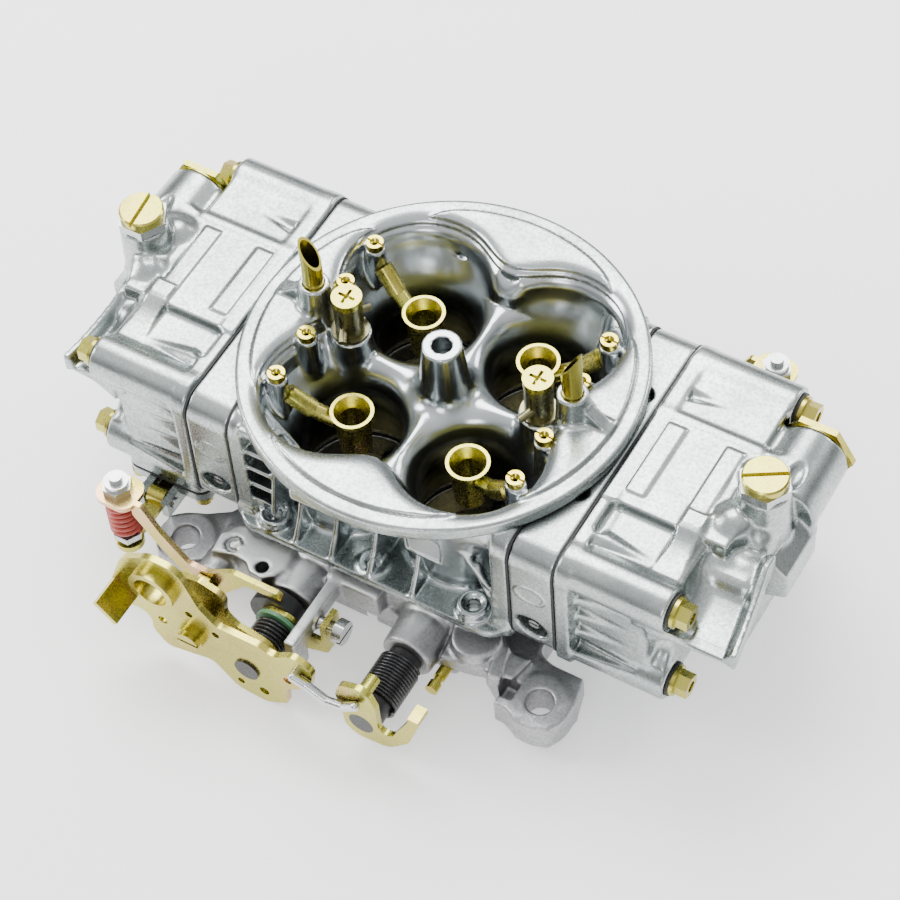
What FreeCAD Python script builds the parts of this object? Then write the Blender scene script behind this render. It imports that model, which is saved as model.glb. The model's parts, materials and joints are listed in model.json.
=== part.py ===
import FreeCAD, Part
import math
import os
import Sketcher
from FreeCAD import Placement, Rotation, Vector

# Four-barrel downdraft carburetor. +X runs along the float bowls towards the
# secondary bowl, -Y is the throttle lever side, +Z is up. The origin is the
# centre of the mounting flange's bottom face. All sizes are millimetres.

SIZES = [
    ("stud_x", 71.5, "mounting hole, along X from the centre"),
    ("stud_y", 65.5, "mounting hole, along Y from the centre"),
    ("stud_hole_r", 4.9, "mounting hole radius"),
    ("ear_r", 10.8, "mounting ear radius"),
    ("flange_top", 11.5, "top of the mounting flange"),
    ("base_top", 24.6, "top of the throttle body"),
    ("body_bottom", 25.4, "bottom of the main body"),
    ("barrel_x", 22.75, "barrel centre, along X"),
    ("barrel_y", 24.1, "barrel centre, along Y"),
    ("bore_r", 21.0, "throttle bore radius"),
    ("venturi_r", 17.5, "venturi throat radius"),
    ("throat_z", 49.0, "height of the venturi throat"),
    ("bell_r", 26.0, "bell mouth radius"),
    ("bell_z", 68.0, "height of the bell mouth"),
    ("lobe_x", 25.5, "air horn lobe centre, along X"),
    ("lobe_y", 27.0, "air horn lobe centre, along Y"),
    ("lobe_r", 27.5, "air horn lobe radius"),
    ("ring_r", 70.4, "air cleaner flange radius"),
    ("ring_bottom", 77.0, "underside of the air cleaner flange"),
    ("ring_top", 82.85, "air cleaner gasket seat"),
    ("lip_r", 65.1, "air horn lip radius"),
    ("lip_top", 84.3, "top of the air horn lip"),
    ("boss_top", 90.3, "top of the air cleaner stud boss"),
    ("boss_r", 6.9, "stud boss radius at its top"),
    ("boss_foot_r", 10.0, "stud boss radius at its foot"),
    ("stud_tap_r", 3.45, "air cleaner stud thread radius"),
    ("stud_tap_depth", 18.0, "air cleaner stud thread depth"),
    ("end_face", 54.0, "end face of the main body"),
    ("joint_y", 54.0, "half width of the bowl joint"),
    ("joint_top", 76.5, "top of the bowl joint"),
    ("block_bottom", 22.0, "bottom of the metering block"),
    ("gasket", 0.8, "gasket thickness"),
    ("block_length", 16.0, "metering block thickness"),
    ("bowl_screw_y", 45.3, "bowl screw, along Y"),
    ("bowl_screw_high", 69.95, "upper bowl screw height"),
    ("bowl_screw_low", 28.6, "lower bowl screw height"),
    ("bowl_screw_r", 2.5, "bowl screw radius"),
    ("washer_face", 111.1, "bowl face under the screw heads"),
    ("bowl_end", 122.0, "outer wall of the bowl"),
    ("nose_end", 135.0, "end of the secondary float hinge nose"),
    ("short_nose_end", 131.0, "end of the primary float hinge nose"),
    ("wing_end", 136.0, "end of the secondary bowl's side shelf"),
    ("short_wing_end", 124.5, "end of the primary bowl's side shelf"),
    ("bowl_floor", 17.0, "bottom of the bowl"),
    ("deck", 77.3, "top of the bowl deck"),
    ("wall", 3.3, "casting wall"),
    ("seat_x", 120.5, "needle and seat, along X"),
    ("tower_top", 88.0, "top of the needle seat tower"),
    ("seat_r", 5.5, "needle seat outer radius"),
    ("needle_r", 1.9, "inlet needle radius"),
    ("nut_top", 91.8, "top of the fuel level nut"),
    ("lock_top", 95.1, "top of the lock screw"),
    ("lock_head_r", 7.9, "lock screw head radius"),
    ("float_pivot_x", 126.0, "float hinge, along X"),
    ("float_pivot_z", 54.0, "float hinge height"),
    ("inlet_x", 122.1, "fuel inlet, along X"),
    ("inlet_z", 66.0, "fuel inlet height"),
    ("inlet_face", 35.0, "fuel inlet boss face, along Y"),
    ("inlet_r", 10.9, "fuel inlet thread radius"),
    ("vent_x", 50.0, "vent tube, along X"),
    ("vent_collar_top", 95.0, "top of the vent tube collar"),
    ("vent_top", 116.0, "tip of the vent tube"),
    ("vent_r", 3.6, "vent tube radius"),
    ("nozzle_x", 37.0, "discharge nozzle, along X"),
    ("nozzle_foot", 76.0, "bottom of the discharge nozzle"),
    ("nozzle_top", 92.0, "top of the discharge nozzle"),
    ("nozzle_r", 5.05, "discharge nozzle radius"),
    ("nozzle_screw_top", 94.75, "top of the nozzle screw"),
    ("bleed_x", 46.15, "air bleeds, along X"),
    ("bleed_inner_y", 12.8, "inner air bleed, along Y"),
    ("bleed_outer_y", 32.2, "outer air bleed, along Y"),
    ("bleed_r", 3.05, "air bleed radius"),
    ("bleed_top", 84.2, "top of the air bleeds"),
    ("booster_top", 67.6, "top of the booster venturi"),
    ("booster_r", 7.6, "booster venturi radius"),
    ("shaft_z", 12.0, "throttle shaft height"),
    ("shaft_r", 4.76, "throttle shaft radius"),
    ("running_gap", 0.05, "radial clearance of turning parts"),
    ("shaft_end", 102.3, "throttle shaft end, along -Y"),
    ("plate_gap", 0.08, "throttle plate to bore clearance"),
    ("plate_thick", 1.5, "throttle plate thickness"),
    ("plate_tilt", 12.0, "closed throttle plate angle, degrees"),
    ("lever_face", 101.5, "outer face of the throttle levers, along -Y"),
    ("lever_thick", 2.4, "throttle lever thickness"),
    ("link_r", 1.8, "link rod radius"),
    ("pump_x", 89.0, "accelerator pump, along X"),
    ("pump_y", 34.0, "accelerator pump, along Y"),
    ("pump_half", 17.0, "half width of the pump cover"),
    ("pump_pin_y", 56.0, "pump lever pin, along Y"),
    ("pump_pin_z", 13.5, "pump lever pin height"),
    ("pump_pin_r", 2.0, "pump lever pin radius"),
    ("override_x", 88.5, "override bolt, along X"),
    ("override_y", 75.5, "override bolt, along Y"),
    ("arm_face", 78.5, "outer face of the operating lever, along -Y"),
    ("arm_thick", 2.0, "operating lever thickness"),
    ("arm_pivot_x", 54.0, "operating lever pivot, along X"),
    ("arm_pivot_z", 13.0, "operating lever pivot height"),
    ("cam_r", 10.0, "pump cam radius"),
    ("cam_throw", 3.0, "pump cam offset"),
    ("mixture_x", 62.8, "idle mixture screws, along X"),
    ("mixture_z", 36.0, "idle mixture screw height"),
    ("mixture_r", 2.4, "idle mixture screw radius"),
    ("idle_y", 77.0, "idle speed screw, along -Y"),
    ("idle_z", 19.0, "idle speed screw height"),
    ("idle_r", 2.3, "idle speed screw radius"),
    ("base_screw_x", 39.5, "throttle body screws, along X"),
    ("base_screw_y", 53.0, "throttle body screws, along Y"),
]

doc = FreeCAD.newDocument("Carburetor")
sheet = doc.addObject("Spreadsheet::Sheet", "Sizes")


class Size:
    """A number together with the spreadsheet formula that gives it."""

    def __init__(self, value, formula):
        self.value = float(value)
        self.formula = formula

    def __add__(self, other):
        return Size(self.value + size_of(other).value, pair(self, "+", other))

    def __radd__(self, other):
        return size_of(other) + self

    def __sub__(self, other):
        return Size(self.value - size_of(other).value, pair(self, "-", other))

    def __rsub__(self, other):
        return size_of(other) - self

    def __mul__(self, other):
        return Size(self.value * size_of(other).value, pair(self, "*", other))

    def __rmul__(self, other):
        return size_of(other) * self

    def __truediv__(self, other):
        return Size(self.value / size_of(other).value, pair(self, "/", other))

    def __neg__(self):
        return self * -1


def size_of(number):
    return number if isinstance(number, Size) else Size(number, f"({float(number):.6f})")


def pair(left, sign, right):
    return f"({left.formula} {sign} {size_of(right).formula})"


class Sheet:
    """The driving dimensions, one attribute each."""


def fill_sheet():
    names = Sheet()
    for row, (alias, value, meaning) in enumerate(SIZES, start=1):
        sheet.set(f"A{row}", meaning)
        sheet.set(f"B{row}", str(value))
        sheet.setAlias(f"B{row}", alias)
        setattr(names, alias, Size(value, f"Sizes.{alias}"))
    return names


S = fill_sheet()
SIDES = (1, -1)
CORNERS = [(along, across) for along in SIDES for across in SIDES]


# ---------------------------------------------------------------- building blocks

def bind(thing, prop, quantity):
    thing.setExpression(prop, size_of(quantity).formula)


def vector(point):
    return Vector(*(size_of(number).value for number in point))


def settle(thing, point, rotation=Rotation()):
    """Put an object at a point whose coordinates follow the sheet."""
    thing.Placement = Placement(vector(point), rotation)
    for axis, number in zip("xyz", point):
        bind(thing, f"Placement.Base.{axis}", number)
    return thing


def distance(start, end):
    steps = [size_of(b) - size_of(a) for a, b in zip(start, end)]
    moving = [step for step in steps if abs(step.value) > 1e-9]
    if len(moving) == 1:
        return moving[0] if moving[0].value > 0 else -moving[0]
    squares = " + ".join(f"{step.formula} ^ 2" for step in moving)
    return Size(math.sqrt(sum(step.value ** 2 for step in moving)), f"sqrt({squares})")


def along_line(kind, name, start, end):
    piece = doc.addObject(kind, name)
    settle(piece, start, Rotation(Vector(0, 0, 1), vector(end) - vector(start)))
    bind(piece, "Height", distance(start, end))
    return piece


def rod(name, start, end, radius):
    piece = along_line("Part::Cylinder", name, start, end)
    bind(piece, "Radius", radius)
    return piece


def cone(name, start, end, start_radius, end_radius):
    piece = along_line("Part::Cone", name, start, end)
    bind(piece, "Radius1", start_radius)
    bind(piece, "Radius2", end_radius)
    return piece


def hexagon(name, start, end, across_flats):
    piece = along_line("Part::Prism", name, start, end)
    piece.Polygon = 6
    bind(piece, "Circumradius", across_flats / math.sqrt(3.0))
    return piece


def block(name, corner, opposite):
    """Box between two opposite corners given in any order."""
    low, lengths = [], []
    for first, second in zip(corner, opposite):
        first, second = size_of(first), size_of(second)
        low.append(first if first.value <= second.value else second)
        lengths.append(distance((first,), (second,)))
    piece = doc.addObject("Part::Box", name)
    for prop, length in zip(("Length", "Width", "Height"), lengths):
        bind(piece, prop, length)
    return settle(piece, low)


def slab(name, corner, opposite, radius, axis):
    """Box whose four edges along the axis (0, 1 or 2) are rounded."""
    low, high = [], []
    for first, second in zip(corner, opposite):
        first, second = size_of(first), size_of(second)
        low.append(min(first, second, key=lambda number: number.value))
        high.append(max(first, second, key=lambda number: number.value))
    one, two = [index for index in range(3) if index != axis]
    parts = []
    for inset in (one, two):
        a, b = list(low), list(high)
        a[inset] = a[inset] + radius
        b[inset] = b[inset] - radius
        parts.append(block(name + "_bar", a, b))
    for first in (low[one] + radius, high[one] - radius):
        for second in (low[two] + radius, high[two] - radius):
            start, end = list(low), list(high)
            start[one] = end[one] = first
            start[two] = end[two] = second
            parts.append(rod(name + "_round", start, end, radius))
    return fuse(name, parts)


def fuse(name, parts):
    result = doc.addObject("Part::MultiFuse", name)
    result.Shapes = list(parts)
    result.Refine = True
    return result


def cut(name, base, tools):
    result = doc.addObject("Part::Cut", name)
    result.Base = base
    result.Tool = tools[0] if len(tools) == 1 else fuse(name + "_tools", tools)
    result.Refine = True
    return result


def common(name, parts):
    result = doc.addObject("Part::MultiCommon", name)
    result.Shapes = list(parts)
    return result


def group(name, parts):
    """Separate solids that share one node."""
    result = doc.addObject("Part::Compound", name)
    result.Links = list(parts)
    return result


def placed(name, part, point, rotation=Rotation()):
    return settle(group(name, [part]), point, rotation)


def turned(name, part):
    """The same piece turned half a turn about the carburetor's vertical axis."""
    return placed(name, part, (0, 0, 0), Rotation(Vector(0, 0, 1), 180))


def pair_of(name, part):
    return group(name, [part, turned(name + "_turned", part)])


def plane_of(body, role):
    return next(item for item in body.Origin.OriginFeatures if item.Role == role)


def corner_arc(before, corner, after, radius):
    """Tangent points of a rounded corner and the middle of its arc."""
    back = (before - corner).normalize()
    ahead = (after - corner).normalize()
    half = back.getAngle(ahead) / 2
    reach = radius / math.tan(half)
    middle = (back + ahead).normalize() * (radius / math.sin(half) - radius)
    return corner + back * reach, corner + middle, corner + ahead * reach


def outline_edges(points):
    """Edges of a closed outline of (u, v, corner radius) points."""
    corners = [Vector(u, v, 0) for u, v, _ in points]
    edges, ends = [], []
    for index, (_, _, radius) in enumerate(points):
        here = corners[index]
        if radius == 0:
            ends.append((here, here))
            continue
        before, after = corners[index - 1], corners[(index + 1) % len(points)]
        first, middle, last = corner_arc(before, here, after, radius)
        edges.append(Part.Arc(first, middle, last))
        ends.append((first, last))
    for index in range(len(points)):
        edges.append(Part.LineSegment(ends[index - 1][1], ends[index][0]))
    return edges


def plate(name, plane, start, thickness, outline, holes=()):
    """Flat plate padded from a sketch; holes are (u, v, radius)."""
    body = doc.addObject("PartDesign::Body", name)
    sketch = body.newObject("Sketcher::SketchObject", name + "_sketch")
    sketch.AttachmentSupport = [(plane_of(body, plane), "")]
    sketch.MapMode = "FlatFace"
    bind(sketch, "AttachmentOffset.Base.z", start)
    sketch.addGeometry(outline_edges(outline), False)
    for u, v, radius in holes:
        u, v, radius = size_of(u), size_of(v), size_of(radius)
        circle = Part.Circle(Vector(u.value, v.value, 0), Vector(0, 0, 1), radius.value)
        index = sketch.addGeometry(circle, False)
        for kind, number in (("DistanceX", u), ("DistanceY", v)):
            constraint = Sketcher.Constraint(kind, -1, 1, index, 3, number.value)
            bind(sketch, f"Constraints[{sketch.addConstraint(constraint)}]", number)
        constraint = Sketcher.Constraint("Radius", index, radius.value)
        bind(sketch, f"Constraints[{sketch.addConstraint(constraint)}]", radius)
    pad = body.newObject("PartDesign::Pad", name + "_pad")
    pad.Profile = sketch
    bind(pad, "Length", thickness)
    body.Tip = pad
    return body


def revolved(name, profile):
    """Turned piece about Z from a closed (radius, height) profile."""
    body = doc.addObject("PartDesign::Body", name)
    sketch = body.newObject("Sketcher::SketchObject", name + "_profile")
    sketch.AttachmentSupport = [(plane_of(body, "XZ_Plane"), "")]
    sketch.MapMode = "FlatFace"
    corners = [(size_of(radius), size_of(height)) for radius, height in profile]
    points = [Vector(radius.value, height.value, 0) for radius, height in corners]
    count = len(points)
    lines = [Part.LineSegment(points[i], points[(i + 1) % count]) for i in range(count)]
    sketch.addGeometry(lines, False)
    for index, (radius, height) in enumerate(corners):
        sketch.addConstraint(Sketcher.Constraint("Coincident", index, 2, (index + 1) % count, 1))
        for kind, number, axis in (("DistanceX", radius, -2), ("DistanceY", height, -1)):
            if number.value == 0:
                sketch.addConstraint(Sketcher.Constraint("PointOnObject", index, 1, axis))
                continue
            constraint = Sketcher.Constraint(kind, -1, 1, index, 1, number.value)
            bind(sketch, f"Constraints[{sketch.addConstraint(constraint)}]", number)
    turn = body.newObject("PartDesign::Revolution", name + "_turn")
    turn.Profile = sketch
    turn.ReferenceAxis = (sketch, ["V_Axis"])
    turn.Angle = 360
    body.Tip = turn
    return body


def coil(name, start, end, radius, wire_radius, turns):
    """Helical spring whose axis runs from start to end."""
    length = distance(start, end) - 2 * wire_radius
    helix = doc.addObject("Part::Helix", name + "_helix")
    bind(helix, "Pitch", length / turns)
    bind(helix, "Height", length)
    bind(helix, "Radius", radius)
    circle = doc.addObject("Part::Circle", name + "_wire")
    bind(circle, "Radius", wire_radius)
    settle(circle, (radius, 0, 0), Rotation(Vector(1, 0, 0), 90))
    sweep = doc.addObject("Part::Sweep", name + "_sweep")
    sweep.Sections = [circle]
    sweep.Spine = (helix, ["Edge1"])
    sweep.Solid = True
    sweep.Frenet = True
    direction = (vector(end) - vector(start)).normalize()
    foot = [size_of(number) + wire_radius * part for number, part in zip(start, direction)]
    return placed(name, sweep, foot, Rotation(Vector(0, 0, 1), direction))


# ---------------------------------------------------------------- castings

def throttle_body():
    top = S.flange_top
    parts = [slab("flange", (-62, -58, 0), (62, 58, top), 8, 2)]
    for sx, sy in CORNERS:
        hole_x, hole_y = S.stud_x * sx, S.stud_y * sy
        parts.append(rod("ear", (hole_x, hole_y, 0), (hole_x, hole_y, top), S.ear_r))
        parts.append(block("ear_web", (40 * sx, 45 * sy, 0), (hole_x, hole_y + S.ear_r * sy, top)))
        parts.append(block("ear_web", (50 * sx, 54 * sy, 0), (hole_x + S.ear_r * sx, hole_y, top)))
    parts.append(block("foot", (57.5, -75, 0), (83, -54, top)))
    parts.append(slab("upper", (-47.2, -56, 0), (47.2, 56, S.base_top), 10, 2))
    parts.append(slab("bracket_pad", (-60, -72.5, 11), (-31, -55, 22), 5, 2))
    parts.append(block("pad_root", (-60, -64, 6), (-40, -55, 22)))
    for side in SIDES:
        x = S.barrel_x * side
        parts.append(rod("shaft_boss", (x, -72, S.shaft_z), (x, -50, S.shaft_z), 9.5))
        parts.append(rod("shaft_boss", (x, 50, S.shaft_z), (x, 64, S.shaft_z), 9.5))
        pivot = S.arm_pivot_x * side
        face = (S.arm_face - S.arm_thick) * side
        root = (pivot, 56 * side, S.arm_pivot_z)
        parts.append(rod("lever_boss", root, (pivot, face, S.arm_pivot_z), 6))
    parts.append(block("idle_arm", (-13.1, -92, 15), (-9, -50, 23)))
    parts.append(block("idle_arm_tip", (-13.1, -92, 5), (-9, -84, 23)))
    parts.append(rod("idle_stop", (-9, -S.idle_y, S.idle_z), (-8, -S.idle_y, S.idle_z), 3.4))
    parts.append(rod("anchor_boss", (35.5, -66, 8), (35.5, -50, 8), 4.5))
    tools = []
    for sx, sy in CORNERS:
        x, y = S.barrel_x * sx, S.barrel_y * sy
        tools.append(rod("bore", (x, y, -1), (x, y, 26), S.bore_r))
        x, y = S.stud_x * sx, S.stud_y * sy
        tools.append(rod("stud_hole", (x, y, -1), (x, y, top + 1), S.stud_hole_r))
    for x, y in base_screw_places():
        tools.append(rod("screw_hole", (x, y, -1), (x, y, 26), 2.4))
        tools.append(rod("screw_recess", (x, y, -1), (x, y, 5.5), 5.2))
    for side in SIDES:
        x = S.barrel_x * side
        reach = (x, -80, S.shaft_z), (x, 80, S.shaft_z)
        tools.append(rod("shaft_bore", *reach, S.shaft_r + S.running_gap))
        pivot = S.arm_pivot_x * side
        start, end = (pivot, 62 * side, S.arm_pivot_z), (pivot, 80 * side, S.arm_pivot_z)
        tools.append(rod("pivot_hole", start, end, 2.4))
    tools.append(rod("anchor_hole", (35.5, -67, 8), (35.5, -58, 8), 1.6))
    tools.append(rod("pad_hole", (-37, -68, 13), (-37, -68, 23), 2.4))
    return cut("throttle_body", fuse("base_solid", parts), tools)


def base_screw_places():
    places = [(S.base_screw_x * sx, S.base_screw_y * sy) for sx, sy in CORNERS]
    return places + [(size_of(0), size_of(53)), (size_of(0), size_of(-53))]


def bleed_places():
    return [(S.bleed_x * sx, y * sy) for sx, sy in CORNERS for y in (S.bleed_inner_y, S.bleed_outer_y)]


def main_body():
    bottom = S.body_bottom
    parts = [slab("lower_flange", (-54, -59.5, bottom), (54, 59.5, 29.5), 9, 2)]
    for side in SIDES:
        corner = (48 * side, -S.joint_y, 20)
        opposite = (S.end_face * side, S.joint_y, S.joint_top)
        parts.append(slab("end_plate", corner, opposite, 8, 0))
        for sy in SIDES:
            y = S.bowl_screw_y * sy
            z = S.bowl_screw_high
            parts.append(rod("screw_boss", (38 * side, y, z), (S.end_face * side, y, z), 6.5))
    for sx, sy in CORNERS:
        x, y = S.barrel_x * sx, S.barrel_y * sy
        parts.append(rod("barrel", (x, y, bottom), (x, y, S.ring_bottom + 1), 25.5))
    parts.append(block("core", (-50, -34, bottom), (50, 34, 76)))
    funnel = cone("funnel", (0, 0, 58), (0, 0, S.ring_bottom), 44, 67)
    waist = block("waist", (-S.end_face, -80, 50), (S.end_face, 80, 90))
    parts.append(common("horn", [funnel, waist]))
    parts.append(rod("ring", (0, 0, S.ring_bottom), (0, 0, S.ring_top), S.ring_r))
    parts.append(rod("lip", (0, 0, S.ring_bottom), (0, 0, S.lip_top), S.lip_r))
    for x, y in base_screw_places():
        parts.append(rod("base_screw_boss", (x, y, bottom), (x, y, 34), 6))
    tools = []
    for sx, sy in CORNERS:
        x, y = S.barrel_x * sx, S.barrel_y * sy
        tools.append(cone("outlet", (x, y, bottom - 1), (x, y, S.throat_z), S.bore_r, S.venturi_r))
        tools.append(cone("bell", (x, y, S.throat_z), (x, y, S.bell_z), S.venturi_r, S.bell_r))
        x, y = S.lobe_x * sx, S.lobe_y * sy
        tools.append(rod("lobe", (x, y, S.bell_z), (x, y, 90), S.lobe_r))
    tools.append(block("horn_middle", (-44, -32, 71), (44, 32, 90)))
    hollow = cut("hollow_body", fuse("body_solid", parts), tools)
    posts = [hollow, cone("stud_boss", (0, 0, 56), (0, 0, S.boss_top), S.boss_foot_r, S.boss_r)]
    for x, y in bleed_places():
        posts.append(rod("bleed_post", (x, y, 62), (x, y, S.bleed_top - 3), 3.9))
    for side in SIDES:
        x = S.vent_x * side
        posts.append(rod("vent_post", (x, 0, S.ring_bottom), (x, 0, S.vent_collar_top), 5.7))
        rib = block("vent_rib", (x, -2.5, 77.5), (62 * side, 2.5, 83))
        posts.append(rib)
        x = S.nozzle_x * side
        posts.append(rod("nozzle_post", (x, 0, 60), (x, 0, S.nozzle_foot), 7.4))
    tap_foot = S.boss_top - S.stud_tap_depth
    holes = [rod("stud_tap", (0, 0, tap_foot), (0, 0, 95), S.stud_tap_r)]
    for x, y in bleed_places():
        holes.append(rod("bleed_hole", (x, y, 77.5), (x, y, 90), 1.9))
        holes.append(rod("bleed_seat", (x, y, S.bleed_top - 3), (x, y, 90), S.bleed_r))
    for side in SIDES:
        x = S.vent_x * side
        holes.append(rod("vent_hole", (x, 0, 82), (x, 0, 99), S.vent_r))
        x = S.nozzle_x * side
        holes.append(rod("nozzle_hole", (x, 0, 62), (x, 0, 80), 2.4))
        for sy in SIDES:
            for z in (S.bowl_screw_high, S.bowl_screw_low):
                y = S.bowl_screw_y * sy
                inner = 47 if z is S.bowl_screw_low else 42
                ends = (inner * side, y, z), ((S.end_face + 1) * side, y, z)
                holes.append(rod("bowl_screw_hole", *ends, S.bowl_screw_r))
    for x, y in base_screw_places():
        holes.append(rod("base_screw_hole", (x, y, 24), (x, y, 35), 2.4))
    return cut("main_body", fuse("body_with_posts", posts), holes)


def block_face():
    """Outer face of the metering block, from the centre."""
    return S.end_face + S.gasket + S.block_length


def metering_block():
    inner = S.end_face + S.gasket
    outer = block_face()
    solid = slab("block_solid", (inner, -S.joint_y, S.block_bottom), (outer, S.joint_y, S.joint_top), 8, 0)
    tools = []
    for sy in SIDES:
        y = S.bowl_screw_y * sy
        for z in (S.bowl_screw_high, S.bowl_screw_low):
            tools.append(rod("screw_way", (inner - 1, y, z), (outer + 1, y, z), 3.0))
        x, z = S.mixture_x, S.mixture_z
        side = S.joint_y * sy
        tools.append(rod("mixture_bore", (x, 23.5 * sy, z), (x, side, z), S.mixture_r + S.running_gap))
        tools.append(rod("mixture_recess", (x, 49 * sy, z), (x, side + sy, z), 5.2))
        tools.append(rod("jet_bore", (inner + 5, 14 * sy, 33), (outer + 1, 14 * sy, 33), 3.0))
        tools.append(slab("main_well", (inner - 1, 12 * sy, 40), (inner + 6, 20 * sy, 68), 3, 0))
    tools.append(rod("power_valve_bore", (inner - 1, 0, 45), (outer + 1, 0, 45), 6.5))
    return cut("secondary_metering_block", solid, tools)


def bowl_start():
    return block_face() + S.gasket


def fuel_bowl(name, side, pump_side, nose_end, wing_end):
    """Float bowl on the given end, with its pump towards pump_side along Y."""
    def at(x, y, z):
        return (x * side, y, z)

    start = bowl_start()
    floor, deck = S.bowl_floor, S.deck
    parts = [slab("joint_flange", at(start, -S.joint_y, 19), at(start + 5, S.joint_y, S.joint_top), 8, 0)]
    parts.append(slab("bowl_core", at(start, -37, floor), at(110, 37, deck), 4, 0))
    parts.append(block("bowl_flank", at(start, -50.5, 26), at(104, 50.5, 72)))
    parts.append(slab("outer_end", at(104, -21, 30), at(S.bowl_end + 2, 21, deck - 1), 4, 2))
    parts.append(slab("nose", at(118, -11, 44), at(nose_end, 11, 63), 2, 1))
    parts.append(block("wing", at(106, -50, 60), at(wing_end, -18, 62.2)))
    parts.append(block("wing_rim", at(wing_end - 2.2, -50, 60), at(wing_end, -10, 67)))
    parts.append(block("corner_web", at(104, -44, 34), at(S.bowl_end, -18, 40)))
    parts.append(rod("corner_column", at(110, -30, 34), at(110, -30, 72), 9))
    parts.append(rod("tower", at(S.seat_x, 0, 56), at(S.seat_x, 0, S.tower_top), 8.6))
    inlet = at(S.inlet_x, 8, S.inlet_z), at(S.inlet_x, S.inlet_face, S.inlet_z)
    parts.append(rod("inlet_boss", *inlet, 12.4))
    for sy in SIDES:
        for z in (S.bowl_screw_high, S.bowl_screw_low):
            y = S.bowl_screw_y * sy
            parts.append(rod("screw_column", at(start, y, z), at(S.washer_face, y, z), 7.2))
    x, y = S.pump_x, S.pump_y * pump_side
    half = S.pump_half
    corner = at(x - half, y - half * pump_side, floor)
    parts.append(slab("pump_pad", corner, at(x + half, y + half * pump_side, 30), 5, 2))
    tools = [slab("fuel_space", at(start - 1, -33, 27), at(107, 33, deck - S.wall), 4, 0)]
    tools.append(block("float_arm_way", at(100, -8, 47), at(129, 8, 60)))
    tools.append(rod("seat_bore", at(S.seat_x, 0, 50), at(S.seat_x, 0, 90), S.seat_r))
    tools.append(rod("inlet_bore", at(S.inlet_x, 22, S.inlet_z), at(S.inlet_x, 42, S.inlet_z), S.inlet_r))
    tools.append(rod("inlet_way", at(S.inlet_x, 3, S.inlet_z), at(S.inlet_x, 30, S.inlet_z), 4.5))
    plug_end = at(S.inlet_x, S.inlet_face, S.inlet_z), at(S.inlet_x, 38.1, S.inlet_z)
    tools.append(rod("plug_space", *plug_end, 14.2))
    pin_ends = at(S.float_pivot_x, -9.5, S.float_pivot_z), at(S.float_pivot_x, 9.5, S.float_pivot_z)
    tools.append(rod("hinge_pin_bore", *pin_ends, 1.5))
    tools.append(rod("pump_space", at(x, y, floor - 1), at(x, y, 24), 13))
    tools.append(rod("pump_way", at(x - 8, y, 20), at(x - 8, y, 30), 2))
    for dx, dy in CORNERS:
        place = x + 13.5 * dx, y + 13.5 * dy
        tools.append(rod("cover_screw_hole", at(*place, floor - 1), at(*place, 25), 1.8))
    for sy in SIDES:
        y = S.bowl_screw_y * sy
        for z in (S.bowl_screw_high, S.bowl_screw_low):
            tools.append(rod("screw_way", at(start - 1, y, z), at(S.washer_face + 12, y, z), 3.0))
            tools.append(rod("head_space", at(S.washer_face, y, z), at(S.washer_face + 8, y, z), 7.6))
    return cut(name, fuse(name + "_solid", parts), tools)


# ---------------------------------------------------------------- gaskets

def gasket(name, inner, bottom, holes):
    """Bowl joint gasket on the +X end."""
    outer = inner + S.gasket
    solid = slab(name + "_sheet", (inner, -S.joint_y, bottom), (outer, S.joint_y, S.joint_top), 8, 0)
    tools = []
    for sy in SIDES:
        for z in (S.bowl_screw_high, S.bowl_screw_low):
            y = S.bowl_screw_y * sy
            tools.append(rod(name + "_hole", (inner - 1, y, z), (outer + 1, y, z), 3.0))
    for low, high in holes:
        corner = (inner - 1, low[0], low[1])
        tools.append(block(name + "_window", corner, (outer + 1, high[0], high[1])))
    return cut(name, solid, tools)


def throttle_body_gasket():
    low, high = S.base_top, S.body_bottom
    solid = slab("gasket_sheet", (-47.2, -56, low), (47.2, 56, high), 10, 2)
    tools = []
    for sx, sy in CORNERS:
        x, y = S.barrel_x * sx, S.barrel_y * sy
        tools.append(rod("gasket_bore", (x, y, low - 1), (x, y, high + 1), S.bore_r + 0.6))
    for x, y in base_screw_places():
        tools.append(rod("gasket_screw_hole", (x, y, low - 1), (x, y, high + 1), 2.6))
    return cut("throttle_body_gasket", solid, tools)


# ---------------------------------------------------------------- air horn fittings

def booster(name, body, sx, sy):
    x, y = S.barrel_x * sx, S.barrel_y * sy
    top = S.booster_top
    reach = vector((S.bleed_x * sx, S.bleed_outer_y * sy, 0)) - vector((x, y, 0))
    unit = reach.normalize()
    side = (x + 6 * unit.x, y + 6 * unit.y, top - 6)
    elbow = (x + 14 * unit.x, y + 14 * unit.y, top - 1.5)
    post = (S.bleed_x * sx - 3.2 * unit.x, S.bleed_outer_y * sy - 3.2 * unit.y, 73.5)
    flare = cone("booster_flare", (x, y, top - 3), (x, y, top), 6.6, S.booster_r)
    barrel = cone("booster_barrel", (x, y, top - 19), (x, y, top - 3), 5.6, 6.6)
    arm = fuse("booster_arm", [rod("arm_inner", side, elbow, 2.9), rod("arm_outer", elbow, post, 3.4)])
    solid = fuse(name + "_solid", [flare, barrel, arm])
    throat = rod("booster_throat", (x, y, top - 20), (x, y, top + 1), 4.4)
    mouth = cone("booster_mouth", (x, y, top - 4), (x, y, top), 4.4, 6.4)
    return cut(name, cut(name + "_hollow", solid, [throat, mouth]), [body])


def booster_venturis(body):
    return group("booster_venturis", [booster("booster", body, sx, sy) for sx, sy in CORNERS])


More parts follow.
